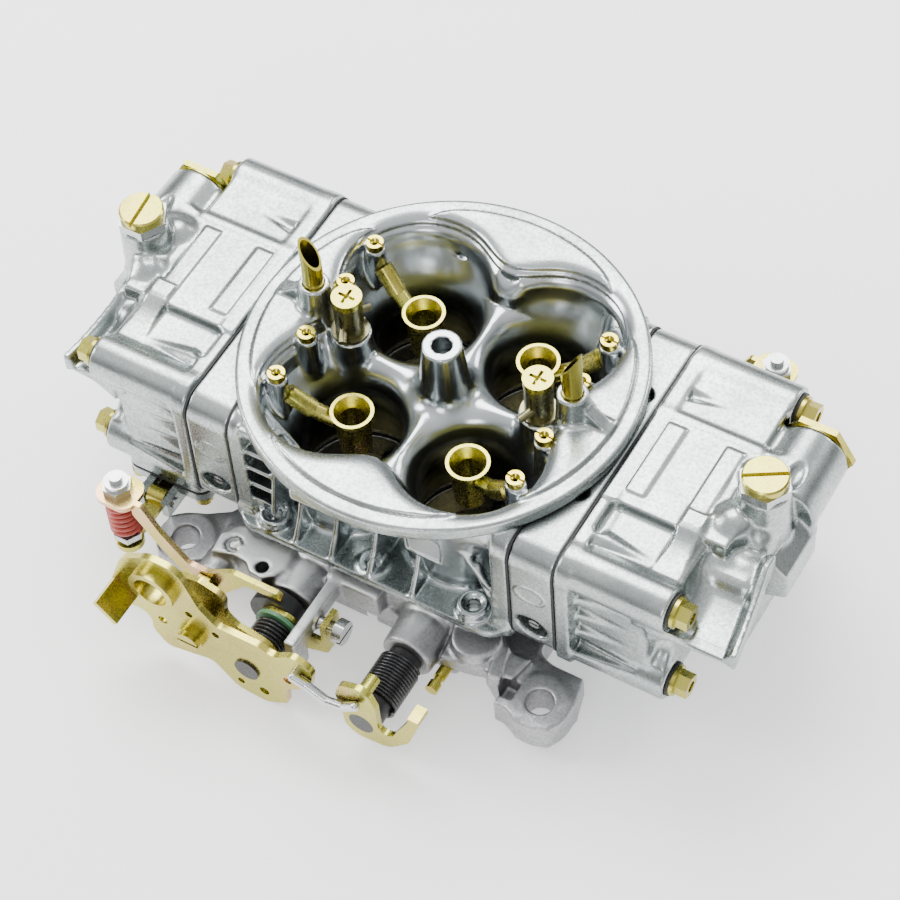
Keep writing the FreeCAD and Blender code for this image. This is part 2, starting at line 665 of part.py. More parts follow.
def vent_tube(side):
    x = S.vent_x * side
    tube = rod("tube", (x, 0, 84), (x, 0, S.vent_top), S.vent_r)
    bore = rod("tube_bore", (x, 0, 83), (x, 0, S.vent_top + 1), S.vent_r - 0.7)
    blade = block("blade", (-20, -20, 0), (20, 20, 30))
    slant = Rotation(Vector(0, 1, 0), -60 * side)
    chop = placed("chop", blade, (x, 0, S.vent_top - 6.2), slant)
    return cut("vent_tube", tube, [bore, chop])


def air_bleed(x, y):
    top = S.bleed_top
    head = rod("bleed_head", (x, y, top - 3), (x, y, top), S.bleed_r)
    stem = rod("bleed_stem", (x, y, 78), (x, y, top - 3), 1.9)
    bore = rod("bleed_bore", (x, y, 77), (x, y, top + 1), 0.6)
    cup = cone("bleed_cup", (x, y, top - 1.4), (x, y, top), 0.6, 1.7)
    slot = block("bleed_slot", (x - 4, y - 0.4, top - 0.9), (x + 4, y + 0.4, top + 1))
    return cut("air_bleed", fuse("bleed_solid", [head, stem]), [bore, cup, slot])


def discharge_nozzle(side):
    x = S.nozzle_x * side
    foot, top = S.nozzle_foot, S.nozzle_top
    body = rod("nozzle_body", (x, 0, foot), (x, 0, top), S.nozzle_r)
    washer = rod("nozzle_washer", (x, 0, foot), (x, 0, foot + 1.4), 6.6)
    tips = []
    for sy in SIDES:
        start = (x, 4 * sy, foot + 6)
        end = (x - 2.5 * side, 9 * sy, foot + 4.6)
        tips.append(rod("nozzle_tip", start, end, 1.5))
    solid = fuse("nozzle_solid", [body, washer] + tips)
    bore = rod("nozzle_bore", (x, 0, foot - 1), (x, 0, top + 1), 2.55)
    groove = block("nozzle_groove", (x - 0.5, -7, top - 9), (x + 0.5, -4.4, top - 3))
    return cut("discharge_nozzle", solid, [bore, groove])


def nozzle_screw(side):
    x = S.nozzle_x * side
    under, top = S.nozzle_top, S.nozzle_screw_top
    head = rod("nozzle_screw_head", (x, 0, under), (x, 0, top), 5.3)
    shank = rod("nozzle_screw_shank", (x, 0, 64), (x, 0, under), 2.4)
    tools = [block("cross", (x - 3.2, -0.6, top - 1.6), (x + 3.2, 0.6, top + 1))]
    tools.append(block("cross", (x - 0.6, -3.2, top - 1.6), (x + 0.6, 3.2, top + 1)))
    return cut("nozzle_screw", fuse("nozzle_screw_solid", [head, shank]), tools)


# ---------------------------------------------------------------- bowl fittings

def bowl_screw(side, sy, z):
    y = S.bowl_screw_y * sy
    face = S.washer_face + 0.9

    def at(x):
        return (x * side, y, z)

    shank = rod("bowl_screw_shank", at(49), at(face), S.bowl_screw_r)
    flange = rod("bowl_screw_flange", at(face), at(face + 1.4), 5.6)
    head = hexagon("bowl_screw_hex", at(face + 1.4), at(face + 6.1), 7.9)
    socket = rod("bowl_screw_socket", at(face + 4.9), at(face + 7), 2.1)
    return cut("bowl_screw", fuse("bowl_screw_solid", [shank, flange, head]), [socket])


def bowl_screw_washer(side, sy, z):
    y = S.bowl_screw_y * sy
    near, far = S.washer_face * side, (S.washer_face + 0.9) * side
    disc = rod("washer_disc", (near, y, z), (far, y, z), 6.2)
    hole = rod("washer_hole", ((S.washer_face - 1) * side, y, z), ((S.washer_face + 2) * side, y, z), 2.9)
    return cut("bowl_screw_washer", disc, [hole])


def screw_spots():
    return [(side, sy, z) for side, sy in CORNERS for z in (S.bowl_screw_high, S.bowl_screw_low)]


def needle_seat():
    x = S.seat_x
    profile = [
        (S.needle_r + S.running_gap, 61), (S.seat_r, 61), (S.seat_r, 86), (3.9, 86), (3.9, S.nut_top - 0.1),
        (3.0, S.nut_top - 0.1), (3.0, 80), (1.2, 80), (1.2, 67.75), (S.needle_r + S.running_gap, 67.75),
    ]
    return placed("needle_seat", revolved("seat_turning", profile), (x, 0, 0))


def fuel_level_nut():
    x = S.seat_x
    nut = hexagon("level_nut", (x, 0, S.tower_top), (x, 0, S.nut_top), 16)
    return cut("fuel_level_nut", nut, [rod("nut_hole", (x, 0, 87), (x, 0, 93), 3.9)])


def lock_screw(side, slot_angle):
    """Slotted screw on top of a bowl; the slot angle is as it happens to be left after setting."""
    under, top = S.nut_top, S.lock_top
    profile = [(0, 82), (3, 82), (3, under), (S.lock_head_r, under), (S.lock_head_r, top - 0.6)]
    profile += [(S.lock_head_r - 0.6, top), (0, top)]
    slot = block("lock_slot", (-9, -0.75, top - 1.8), (9, 0.75, top + 1))
    screw = cut("lock_screw", revolved("lock_turning", profile), [slot])
    return placed("set_lock_screw", screw, (S.seat_x * side, 0, 0), Rotation(Vector(0, 0, 1), slot_angle))


def needle(name, side):
    profile = [(0, 54.6), (1.0, 54.6), (1.0, 57), (S.needle_r, 57), (S.needle_r, 65), (0.5, 67.5), (0, 67.5)]
    return placed(name, revolved(name + "_turning", profile), (S.seat_x * side, 0, 0))


def float_assembly():
    pivot_x, pivot_z = S.float_pivot_x, S.float_pivot_z
    pontoon = slab("pontoon", (77, -21, 38), (103, 21, 57), 5, 2)
    arm = block("float_arm", (100, -4, 52), (pivot_x, 4, 54.2))
    barrel = rod("float_barrel", (pivot_x, -6.5, pivot_z), (pivot_x, 6.5, pivot_z), 2.6)
    hole = rod("float_hole", (pivot_x, -8, pivot_z), (pivot_x, 8, pivot_z), 1.5 + S.running_gap)
    return cut("secondary_float", fuse("float_solid", [pontoon, arm, barrel]), [hole])


def inlet_plug(side):
    x, z = S.inlet_x * side, S.inlet_z
    face = S.inlet_face
    thread = rod("plug_thread", (x, 25, z), (x, face, z), S.inlet_r)
    flange = rod("plug_flange", (x, face, z), (x, face + 0.6, z), 12)
    head = hexagon("plug_hex", (x, face + 0.6, z), (x, face + 3, z), 23.8)
    return fuse("inlet_plug", [thread, flange, head])


def main_jet(sy):
    face = block_face()
    y = 14 * sy
    head = rod("jet_head", (face, y, 33), (face + 2.4, y, 33), 4.2)
    thread = rod("jet_thread", (face - 6, y, 33), (face, y, 33), 3.0)
    bore = rod("jet_hole", (face - 7, y, 33), (face + 3, y, 33), 1.0)
    slot = block("jet_slot", (face + 1.4, y - 5, 32.4), (face + 4, y + 5, 33.6))
    return cut("main_jet", fuse("jet_solid", [head, thread]), [bore, slot])


def power_valve():
    inner = S.end_face + S.gasket
    thread = rod("valve_thread", (inner + 1, 0, 45), (inner + 12, 0, 45), 6.5)
    flange = rod("valve_stem", (inner + 12, 0, 45), (inner + 19, 0, 45), 3.0)
    return fuse("power_valve", [thread, flange])


# ---------------------------------------------------------------- accelerator pumps (+X end)

def pump_corner(dx, dy, z):
    return (S.pump_x + S.pump_half * dx, S.pump_y + S.pump_half * dy, z)


def pump_cover():
    x, y = S.pump_x, S.pump_y
    top = S.bowl_floor - 0.8
    parts = [slab("cover_plate", pump_corner(-1, -1, 12.5), pump_corner(1, 1, top), 5, 2)]
    parts.append(rod("cover_cup", (x, y, 7), (x, y, top), 15.5))
    for side in SIDES:
        corner = (x + 3.6 * side, 44, 9)
        parts.append(block("cover_lug", corner, (x + 6.6 * side, S.pump_pin_y + 4, top)))
    tools = [rod("cover_space", (x, y, 9), (x, y, 18), 13)]
    tools.append(block("lever_way", (x - 3.6, y, 6), (x + 3.6, 62, 18)))
    pin = (x - 8, S.pump_pin_y, S.pump_pin_z), (x + 8, S.pump_pin_y, S.pump_pin_z)
    tools.append(rod("pin_hole", *pin, S.pump_pin_r))
    for dx, dy in CORNERS:
        place = x + 13.5 * dx, y + 13.5 * dy
        tools.append(rod("cover_screw_hole", (*place, 5), (*place, 18), 2.0))
    return cut("pump_cover", fuse("cover_solid", parts), tools)


def pump_diaphragm():
    x, y = S.pump_x, S.pump_y
    low, high = S.bowl_floor - 0.8, S.bowl_floor
    sheet_part = slab("diaphragm_sheet", pump_corner(-1, -1, low), pump_corner(1, 1, high), 5, 2)
    rivet = rod("diaphragm_rivet", (x, y, low - 1.6), (x, y, high + 1.4), 5)
    holes = []
    for dx, dy in CORNERS:
        place = x + 13.5 * dx, y + 13.5 * dy
        holes.append(rod("diaphragm_hole", (*place, 15), (*place, 18), 2.0))
    return cut("pump_diaphragm", fuse("diaphragm_solid", [sheet_part, rivet]), holes)


def pump_cover_screw(dx, dy):
    x, y = S.pump_x + 13.5 * dx, S.pump_y + 13.5 * dy
    head = rod("cover_screw_head", (x, y, 10.2), (x, y, 12.5), 3.2)
    shank = rod("cover_screw_shank", (x, y, 12.5), (x, y, 24), 1.8)
    slot = block("cover_screw_slot", (x - 4, y - 0.5, 9), (x + 4, y + 0.5, 11.2))
    return cut("cover_screw", fuse("cover_screw_solid", [head, shank]), [slot])


def pump_lever():
    x = S.pump_x
    y, z = S.pump_pin_y, S.pump_pin_z
    parts = [rod("lever_hub", (x - 3.4, y, z), (x + 3.4, y, z), 3.4)]
    parts.append(block("lever_inner", (x - 3.2, S.pump_y, 10.4), (x + 3.2, y, 12.6)))
    parts.append(block("lever_outer", (x - 3.2, y, 10.6), (x + 3.2, S.override_y, 12.8)))
    parts.append(rod("lever_nose", (x, S.pump_y, 10.4), (x, S.pump_y, 14.2), 3.2))
    tip = (S.override_x, S.override_y, 10.6), (S.override_x, S.override_y, 13.4)
    parts.append(rod("lever_tip", *tip, 5.2))
    pin = (x - 7, y, z), (x + 7, y, z)
    hole = rod("lever_hole", *pin, S.pump_pin_r + S.running_gap)
    return cut("secondary_pump_lever", fuse("lever_solid", parts), [hole])


def hinge_pins():
    x, y, z = S.pump_x, S.pump_pin_y, S.pump_pin_z
    pump = rod("pump_pin", (x - 7.6, y, z), (x + 7.6, y, z), S.pump_pin_r)
    ends = (S.float_pivot_x, -9.5, S.float_pivot_z), (S.float_pivot_x, 9.5, S.float_pivot_z)
    hinge = rod("float_pin", *ends, 1.5)
    return group("hinge_pins", [pump, turned("pump_pin_b", pump), hinge, turned("float_pin_b", hinge)])


# ---------------------------------------------------------------- pump drive (-X end, -Y side)

def operating_lever():
    outline = [
        (-22.2, 26.4, 1.8), (-22.2, 22.3, 1.8), (-37, 22.3, 4), (-48.5, 8.6, 5), (-55, 6.5, 5), (-61.5, 9, 5),
        (-73.5, 23.5, 8), (-81.6, 35, 2), (-81.6, 42, 0), (-77.4, 42, 2), (-71.5, 31.5, 8), (-61, 18.6, 6),
        (-53, 19, 5), (-42.5, 26.4, 5),
    ]
    lever = plate(
        "operating_plate", "XZ_Plane", S.arm_face - S.arm_thick, S.arm_thick, outline,
        [(-S.arm_pivot_x, S.arm_pivot_z, 2.4 + S.running_gap)],
    )
    tab = slab("operating_tab", (-95.5, -82.5, 40), (-80, -68.5, 42), 5, 2)
    hole = rod("tab_hole", (-S.override_x, -S.override_y, 39), (-S.override_x, -S.override_y, 43), 2.4)
    return cut("primary_operating_lever", fuse("operating_solid", [lever, tab]), [hole])


def override_bolt():
    x, y = -S.override_x, -S.override_y
    tip = rod("bolt_tip", (x, y, 14), (x, y, 15.6), 1.6)
    head = hexagon("bolt_head", (x, y, 15.6), (x, y, 18.4), 9.5)
    shank = rod("bolt_shank", (x, y, 18.4), (x, y, 50), 2.4)
    bolt = fuse("override_screw", [tip, head, shank])
    nut = hexagon("nut_hex", (x, y, 42), (x, y, 45.6), 9.5)
    collar = rod("nut_collar", (x, y, 45.6), (x, y, 47.6), 4.3)
    bore = rod("nut_bore", (x, y, 41), (x, y, 49), 2.4)
    tapped = cut("override_nut", fuse("nut_solid", [nut, collar]), [bore])
    return group("primary_override_bolt", [bolt, tapped])


def lever_pivot():
    x, z = -S.arm_pivot_x, S.arm_pivot_z
    shank = rod("pivot_shank", (x, -63, z), (x, -S.arm_face - 0.3, z), 2.4)
    head = hexagon("pivot_head", (x, -S.arm_face - 0.3, z), (x, -S.arm_face - 3.6, z), 8)
    return fuse("lever_pivot", [shank, head])


def pump_cam():
    x, z = S.barrel_x, S.shaft_z
    centre = (-x - S.cam_throw, -79.2, z), (-x - S.cam_throw, -73.6, z)
    disc = rod("cam_disc", *centre, S.cam_r)
    hole = rod("cam_hole", (-x, -80, z), (-x, -72, z), S.shaft_r)
    return cut("primary_pump_cam", disc, [hole])


# ---------------------------------------------------------------- throttle shafts

def plate_screw_places(sy):
    return [S.barrel_y * sy + 9 * side for side in SIDES]


def shaft_frame(name, part, side):
    """Place a part built about the shaft axis with its throttle plates flat."""
    tilt = Rotation(Vector(0, 1, 0), S.plate_tilt.value * -side)
    return placed(name, part, (S.barrel_x * side, 0, S.shaft_z), tilt)


def throttle_shaft(name, side, near_end, far_end):
    bar = rod(name + "_bar", (0, near_end, 0), (0, far_end, 0), S.shaft_r)
    tools = []
    for sy in SIDES:
        y = S.barrel_y * sy
        thick = S.plate_thick / 2
        tools.append(block("plate_slot", (-8, y - S.bore_r, -thick), (8, y + S.bore_r, thick)))
        for spot in plate_screw_places(sy):
            tools.append(rod("screw_hole", (0, spot, -6), (0, spot, 6), 1.4))
    return shaft_frame(name, cut(name + "_slotted", bar, tools), side)


def throttle_plates(name, side):
    pieces = []
    for sy in SIDES:
        y = S.barrel_y * sy
        tilt = S.plate_tilt.value * -side
        thick = S.plate_thick / 2
        flat = block("plate_flat", (-30, y - 30, -thick), (30, y + 30, thick))
        bore = placed("plate_bore", rod("bore", (0, 0, -20), (0, 0, 20), S.bore_r - S.plate_gap), (0, y, 0),
                      Rotation(Vector(0, 1, 0), -tilt))
        disc = common("plate_disc", [flat, bore])
        holes = [rod("plate_hole", (0, spot, -2), (0, spot, 2), 1.4) for spot in plate_screw_places(sy)]
        pieces.append(cut("throttle_plate", disc, holes))
        for spot in plate_screw_places(sy):
            shank = rod("plate_screw_shank", (0, spot, -4.4), (0, spot, 4.76), 1.4)
            head = rod("plate_screw_head", (0, spot, S.shaft_r), (0, spot, S.shaft_r + 1.4), 2.7)
            slot = block("plate_screw_slot", (-3, spot - 0.4, 5.5), (3, spot + 0.4, 7))
            pieces.append(cut("plate_screw", fuse("plate_screw_solid", [shank, head]), [slot]))
    return shaft_frame(name, group(name + "_flat", pieces), side)


def primary_throttle_lever():
    outline = [
        (-58, 55.2, 9), (-45.8, 55.2, 8), (-39.2, 37.5, 5), (-33, 30.6, 4), (-17, 31, 4), (-10.5, 28.4, 5),
        (-3, 34.4, 4), (5.6, 31.5, 5), (3.4, 19, 4), (-6.8, 11, 3), (-7.6, 1.2, 2), (-17, -4.6, 6),
        (-28.5, -3.4, 6), (-37.6, 6.6, 4), (-56.8, 1.8, 4), (-61.8, 9, 5), (-61, 24.4, 5), (-66, 20.6, 3),
        (-75.6, 31, 2), (-69.5, 47, 8),
    ]
    holes = [
        (-S.barrel_x, S.shaft_z, S.shaft_r), (-56, 40, 6.4), (-44, 18.4, 3.0),
        (-1.5, 26, S.link_r + S.running_gap),
        (-44, 30.5, 1.5), (-34, 25, 1.5), (-56.5, 18, 1.9), (-6, 17, 1.6), (-26.5, 1.6, 1.4), (-17, 2, 1.9),
    ]
    back = S.lever_face - S.lever_thick
    lever = plate("primary_lever_plate", "XZ_Plane", back, S.lever_thick, outline, holes)
    ring = rod("cable_ring", (-56, -98, 40), (-56, -105, 40), 8.8)
    boss = rod("clamp_boss", (-44, -99.1, 18.4), (-44, -104, 18.4), 5.2)
    start = (-75.2, -S.lever_face + S.lever_thick, 31.3)
    tab = block("kickdown_tab", (0, -14.5, 0), (10.8, 0, 2.2))
    tab = placed("kickdown_tab_set", tab, start, Rotation(Vector(0, 1, 0), 47))
    solid = fuse("primary_lever_solid", [lever, ring, boss, tab])
    tools = [rod("ring_hole", (-56, -97, 40), (-56, -106, 40), 6.4)]
    tools.append(rod("boss_hole", (-44, -90, 18.4), (-44, -106, 18.4), 3.0))
    return cut("primary_throttle_lever", solid, tools)


def primary_stop_lever():
    outline = [
        (-55, 41, 2), (-42, 44, 2), (-32, 41, 4), (-33.5, 30, 5), (-29.5, 26.2, 4), (-15.5, 22, 6),
        (-14, 6, 6), (-30, 3, 7), (-36, 12, 5), (-48.5, 12, 5), (-50, 24, 4),
    ]
    holes = [(-S.barrel_x, S.shaft_z, S.shaft_r), (-44, 18.4, 3.0)]
    return plate("primary_stop_lever", "XZ_Plane", 93.4, 2.2, outline, holes)


def lever_clamp_screw():
    head = rod("clamp_head", (-44, -104, 18.4), (-44, -105.6, 18.4), 4.2)
    shank = rod("clamp_shank", (-44, -93, 18.4), (-44, -104, 18.4), 3.0)
    slot = block("clamp_slot", (-49, -107, 17.9), (-39, -104.8, 18.9))
    return cut("lever_clamp_screw", fuse("clamp_solid", [head, shank]), [slot])


def secondary_throttle_lever():
    outline = [
        (13.6, 24, 4), (15.5, 31, 4), (26, 35, 5), (29.4, 26, 5), (29.6, 12.2, 3), (34.6, 12.2, 3),
        (42.2, 28, 0), (46.2, 28, 0), (41.4, 13.6, 8), (33, 4.2, 8), (16.5, 2.6, 7), (15.5, 14, 6),
    ]
    holes = [(S.barrel_x, S.shaft_z, S.shaft_r), (S.barrel_x, 25.9, 2.4)]
    back = S.lever_face - S.lever_thick
    lever = plate("secondary_lever_plate", "XZ_Plane", back, S.lever_thick, outline, holes)
    tab = block("spring_tab", (42.2, -S.lever_face, 27.9), (46.2, -95, 30.3))
    pin = rod("link_pin", (S.barrel_x, -S.lever_face, 25.9), (S.barrel_x, -91, 25.9), 2.4)
    return fuse("secondary_throttle_lever", [lever, tab, pin])


def link_rod():
    y = -103.5
    path = [(-1.5, y, 26), (3.2, y, 24.6), (11, y, 20.4), (18, y, 22), (S.barrel_x.value, y, 25.9)]
    parts = [rod("rod_run", path[i], path[i + 1], S.link_r) for i in range(len(path) - 1)]
    for point in path:
        ball = doc.addObject("Part::Sphere", "rod_bend")
        bind(ball, "Radius", S.link_r)
        parts.append(settle(ball, point))
    parts.append(rod("rod_hook", (-1.5, y, 26), (-1.5, -97.6, 26), S.link_r))
    return fuse("throttle_link_rod", parts)


def spring_sleeve():
    x, z = S.barrel_x, S.shaft_z
    sleeve = rod("sleeve", (x, -98.8, z), (x, -72.4, z), 6.1)
    hole = rod("sleeve_hole", (x, -100, z), (x, -71, z), S.shaft_r)
    return cut("secondary_spring_sleeve", sleeve, [hole])


def spring_washer():
    x, z = -S.barrel_x, S.shaft_z
    disc = rod("washer_disc", (x, -83.0, z), (x, -81.4, z), 8.4)
    hole = rod("washer_hole", (x, -84, z), (x, -81, z), S.shaft_r)
    return cut("primary_spring_washer", disc, [hole])


def idle_lever():
    """Lever that carries the idle speed screw and stops against the throttle body."""
    outline = [
        (-31, 19.6, 8), (-31, 4, 7), (-16, 3.5, 6), (-2.9, 8.5, 2), (-2.9, 14.4, 0), (-14.5, 14.4, 2),
        (-17.2, 19.6, 4),
    ]
    lever = plate("idle_lever_plate", "XZ_Plane", 79.4, 1.8, outline, [(-S.barrel_x, S.shaft_z, S.shaft_r)])
    tab = block("idle_tab", (-5.2, -81.2, 8.8), (-2.9, -72.6, 23.8))
    solid = fuse("idle_lever_solid", [lever, tab])
    screw = (-6, -S.idle_y, S.idle_z), (-2, -S.idle_y, S.idle_z)
    return cut("primary_idle_lever", solid, [rod("idle_thread", *screw, S.idle_r + S.running_gap)])


# ---------------------------------------------------------------- screws

def throttle_body_screws():
    screws = []
    for x, y in base_screw_places():
        head = rod("base_screw_head", (x, y, 2.4), (x, y, 5.5), 4.6)
        shank = rod("base_screw_shank", (x, y, 5.5), (x, y, 28.6), 2.4)
        slot = block("base_screw_slot", (x - 6, y - 0.5, 1), (x + 6, y + 0.5, 3.6))
        screws.append(cut("base_screw", fuse("base_screw_solid", [head, shank]), [slot]))
    return group("throttle_body_screws", screws)


def mixture_screw(name, side, sy):
    """Idle mixture needle, seated inward along Y."""
    profile = [(0, 24), (0.7, 24), (S.mixture_r, 30), (S.mixture_r, 50), (2.0, 50), (2.0, 52.6), (0, 52.6)]
    needle_body = revolved(name + "_turning", profile)
    point = (S.mixture_x * side, 0, S.mixture_z)
    body = placed(name + "_set", needle_body, point, Rotation(Vector(0, 0, 1), Vector(0, sy, 0)))
    x, z = S.mixture_x * side, S.mixture_z
    slot = block(name + "_slot", (x - 4, 51.6 * sy, z - 0.4), (x + 4, 53.5 * sy, z + 0.4))
    return cut(name, body, [slot])


def idle_speed_screw():
    y, z = -S.idle_y, S.idle_z
    head = rod("idle_head", (-1, y, z), (2.6, y, z), 4.6)
    shank = rod("idle_shank", (-7.8, y, z), (-1, y, z), S.idle_r)
    slot = block("idle_slot", (1.4, y - 6, z - 0.5), (4, y + 6, z + 0.5))
    return cut("idle_speed_screw", fuse("idle_solid", [head, shank]), [slot])


def anchor_post():
    stem = rod("post_stem", (35.5, -76, 8), (35.5, -58, 8), 1.6)
    collar = rod("post_collar", (35.5, -71.6, 8), (35.5, -66, 8), 2.2)
    head = rod("post_head", (35.5, -77.2, 8), (35.5, -73.8, 8), 2.3)
    return fuse("spring_anchor_post", [stem, collar, head])


# ---------------------------------------------------------------- the whole carburetor

def build_nodes():
    """Every piece of the carburetor, by node name."""
    body = main_body()
    block_plus = metering_block()
    gasket_inner = gasket("block_gasket", S.end_face, S.block_bottom, [((-22, 30), (22, 66))])
    gasket_outer = gasket("bowl_gasket", block_face(), S.block_bottom, [((-30, 27.5), (30, 70))])
    joint_gaskets = group("joint_gaskets", [gasket_inner, gasket_outer])
    all_gaskets = [throttle_body_gasket(), joint_gaskets, turned("joint_gaskets_b", joint_gaskets)]
    washers = [bowl_screw_washer(*spot) for spot in screw_spots()]
    cover, diaphragm, lever = pump_cover(), pump_diaphragm(), pump_lever()
    cover_screws = group("cover_screw_set", [pump_cover_screw(dx, dy) for dx, dy in CORNERS])
    arm, bolt, pivot, cam = operating_lever(), override_bolt(), lever_pivot(), pump_cam()
    override = (-S.override_x, -S.override_y, 18.6), (-S.override_x, -S.override_y, 39.8)
    override_spring = coil("primary_override_spring", *override, 5.0, 0.9, 7)
    float_plus = float_assembly()
    jets = group("main_jet_pair", [main_jet(sy) for sy in SIDES])
    shaft_line = S.barrel_x, S.shaft_z
    spring_start = (-shaft_line[0], -92.6, shaft_line[1])
    nodes = {
        "throttle_body": throttle_body(),
        "main_body": body,
        "secondary_metering_block": block_plus,
        "primary_metering_block": turned("primary_metering_block", block_plus),
        "secondary_fuel_bowl": fuel_bowl("secondary_fuel_bowl", 1, 1, S.nose_end, S.wing_end),
        "primary_fuel_bowl": fuel_bowl("primary_fuel_bowl", -1, -1, S.short_nose_end, S.short_wing_end),
        "gaskets": group("gaskets", all_gaskets),
        "booster_venturis": booster_venturis(body),
        "vent_tubes": group("vent_tubes", [vent_tube(side) for side in SIDES]),
        "air_bleeds": group("air_bleeds", [air_bleed(x, y) for x, y in bleed_places()]),
        "discharge_nozzles": group("discharge_nozzles", [discharge_nozzle(side) for side in SIDES]),
        "discharge_nozzle_screws": group("discharge_nozzle_screws", [nozzle_screw(side) for side in SIDES]),
        "bowl_screws": group("bowl_screws", [bowl_screw(*spot) for spot in screw_spots()]),
        "bowl_screw_washers": group("bowl_screw_washers", washers),
        "needle_seats": pair_of("needle_seats", needle_seat()),
        "fuel_level_nuts": pair_of("fuel_level_nuts", fuel_level_nut()),
        "fuel_level_lock_screws": group("fuel_level_lock_screws", [lock_screw(1, 31), lock_screw(-1, 96)]),
        "primary_needle": needle("primary_needle", -1),
        "secondary_needle": needle("secondary_needle", 1),
        "secondary_float": float_plus,
        "primary_float": turned("primary_float", float_plus),
        "fuel_inlet_plugs": group("fuel_inlet_plugs", [inlet_plug(side) for side in SIDES]),
        "main_jets": pair_of("main_jets", jets),
        "power_valves": pair_of("power_valves", power_valve()),
        "pump_covers": pair_of("pump_covers", cover),
        "pump_diaphragms": pair_of("pump_diaphragms", diaphragm),
        "pump_cover_screws": pair_of("pump_cover_screws", cover_screws),
        "secondary_pump_lever": lever,
        "primary_pump_lever": turned("primary_pump_lever", lever),
        "hinge_pins": hinge_pins(),
        "primary_operating_lever": arm,
        "secondary_operating_lever": turned("secondary_operating_lever", arm),
        "operating_lever_pivots": pair_of("operating_lever_pivots", pivot),
        "primary_override_bolt": bolt,
        "secondary_override_bolt": turned("secondary_override_bolt", bolt),
        "primary_override_spring": override_spring,
        "secondary_override_spring": turned("secondary_override_spring", override_spring),
        "primary_pump_cam": cam,
        "secondary_pump_cam": turned("secondary_pump_cam", cam),
        "primary_throttle_shaft": throttle_shaft("primary_throttle_shaft", -1, -S.shaft_end, 64),
        "secondary_throttle_shaft": throttle_shaft("secondary_throttle_shaft", 1, -S.lever_face, 81),
        "primary_throttle_plates": throttle_plates("primary_throttle_plates", -1),
        "secondary_throttle_plates": throttle_plates("secondary_throttle_plates", 1),
        "primary_throttle_lever": primary_throttle_lever(),
        "primary_stop_lever": primary_stop_lever(),
        "lever_clamp_screw": lever_clamp_screw(),
        "secondary_throttle_lever": secondary_throttle_lever(),
        "throttle_link_rod": link_rod(),
        "secondary_spring_sleeve": spring_sleeve(),
        "primary_spring_washer": spring_washer(),
        "primary_idle_lever": idle_lever(),
        "primary_return_spring": coil(
            "primary_return_spring", spring_start, (-shaft_line[0], -83.2, shaft_line[1]), 6.6, 0.75, 5),
        "secondary_return_spring": coil(
            "secondary_return_spring", (shaft_line[0], -93, shaft_line[1]), (shaft_line[0], -75, shaft_line[1]),
            7.2, 0.6, 13),
        "throttle_body_screws": throttle_body_screws(),
        "idle_speed_screw": idle_speed_screw(),
        "spring_anchor_post": anchor_post(),
    }
    for side, end in ((-1, "primary"), (1, "secondary")):
        for sy, hand in ((-1, "near"), (1, "far")):
            name = f"{end}_{hand}_mixture_screw"
            nodes[name] = mixture_screw(name, side, sy)
    return nodes


def check_document():
    for item in doc.Objects:
        if "Invalid" in item.State or "Error" in item.State:
            raise RuntimeError(f"{item.Name} failed: {item.State}")


def write_nodes(nodes):
    os.makedirs("parts", exist_ok=True)
    for name, item in nodes.items():
        item.Label = name
        shape = item.Shape
        if shape.isNull() or not shape.isValid() or not shape.Solids:
            raise RuntimeError(f"{name} has no valid solid")
        solids = shape.Solids
        whole = solids[0] if len(solids) == 1 else Part.makeCompound(solids)
        whole.exportStep(f"parts/{name}.step")
        print(name, len(solids), round(whole.Volume, 1))


nodes = build_nodes()
doc.recompute()
check_document()
write_nodes(nodes)
print(len(nodes), "nodes")
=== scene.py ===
import bpy
import json
import math
import numpy as np
from mathutils import Matrix, Vector

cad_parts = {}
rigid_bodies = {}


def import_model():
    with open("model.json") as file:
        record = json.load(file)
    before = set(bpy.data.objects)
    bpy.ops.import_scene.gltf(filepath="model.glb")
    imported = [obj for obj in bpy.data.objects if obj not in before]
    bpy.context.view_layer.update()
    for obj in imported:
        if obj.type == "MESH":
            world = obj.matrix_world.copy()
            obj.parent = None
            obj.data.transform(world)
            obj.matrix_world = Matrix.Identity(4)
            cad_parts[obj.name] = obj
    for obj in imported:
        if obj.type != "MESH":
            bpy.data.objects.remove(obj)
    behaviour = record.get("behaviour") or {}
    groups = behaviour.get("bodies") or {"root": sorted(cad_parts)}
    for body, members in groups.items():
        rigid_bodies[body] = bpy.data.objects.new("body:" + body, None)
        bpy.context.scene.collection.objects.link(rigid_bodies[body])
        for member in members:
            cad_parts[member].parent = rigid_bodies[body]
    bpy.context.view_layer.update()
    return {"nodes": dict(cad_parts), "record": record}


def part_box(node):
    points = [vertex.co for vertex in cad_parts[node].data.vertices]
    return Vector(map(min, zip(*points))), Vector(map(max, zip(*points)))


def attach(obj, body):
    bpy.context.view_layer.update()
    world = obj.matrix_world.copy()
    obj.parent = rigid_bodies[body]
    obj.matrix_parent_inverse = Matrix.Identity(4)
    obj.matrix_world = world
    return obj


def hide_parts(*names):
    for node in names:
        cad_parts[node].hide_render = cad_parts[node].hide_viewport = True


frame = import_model()
NODES = frame["nodes"]
RECORD = frame["record"]
BODY = "carburetor_body"
STEP = 0.6
SIDES = (1, -1)
CORNERS = [(a, b) for a in SIDES for b in SIDES]


# ---------------------------------------------------------------- solid shapes as distances, in millimetres

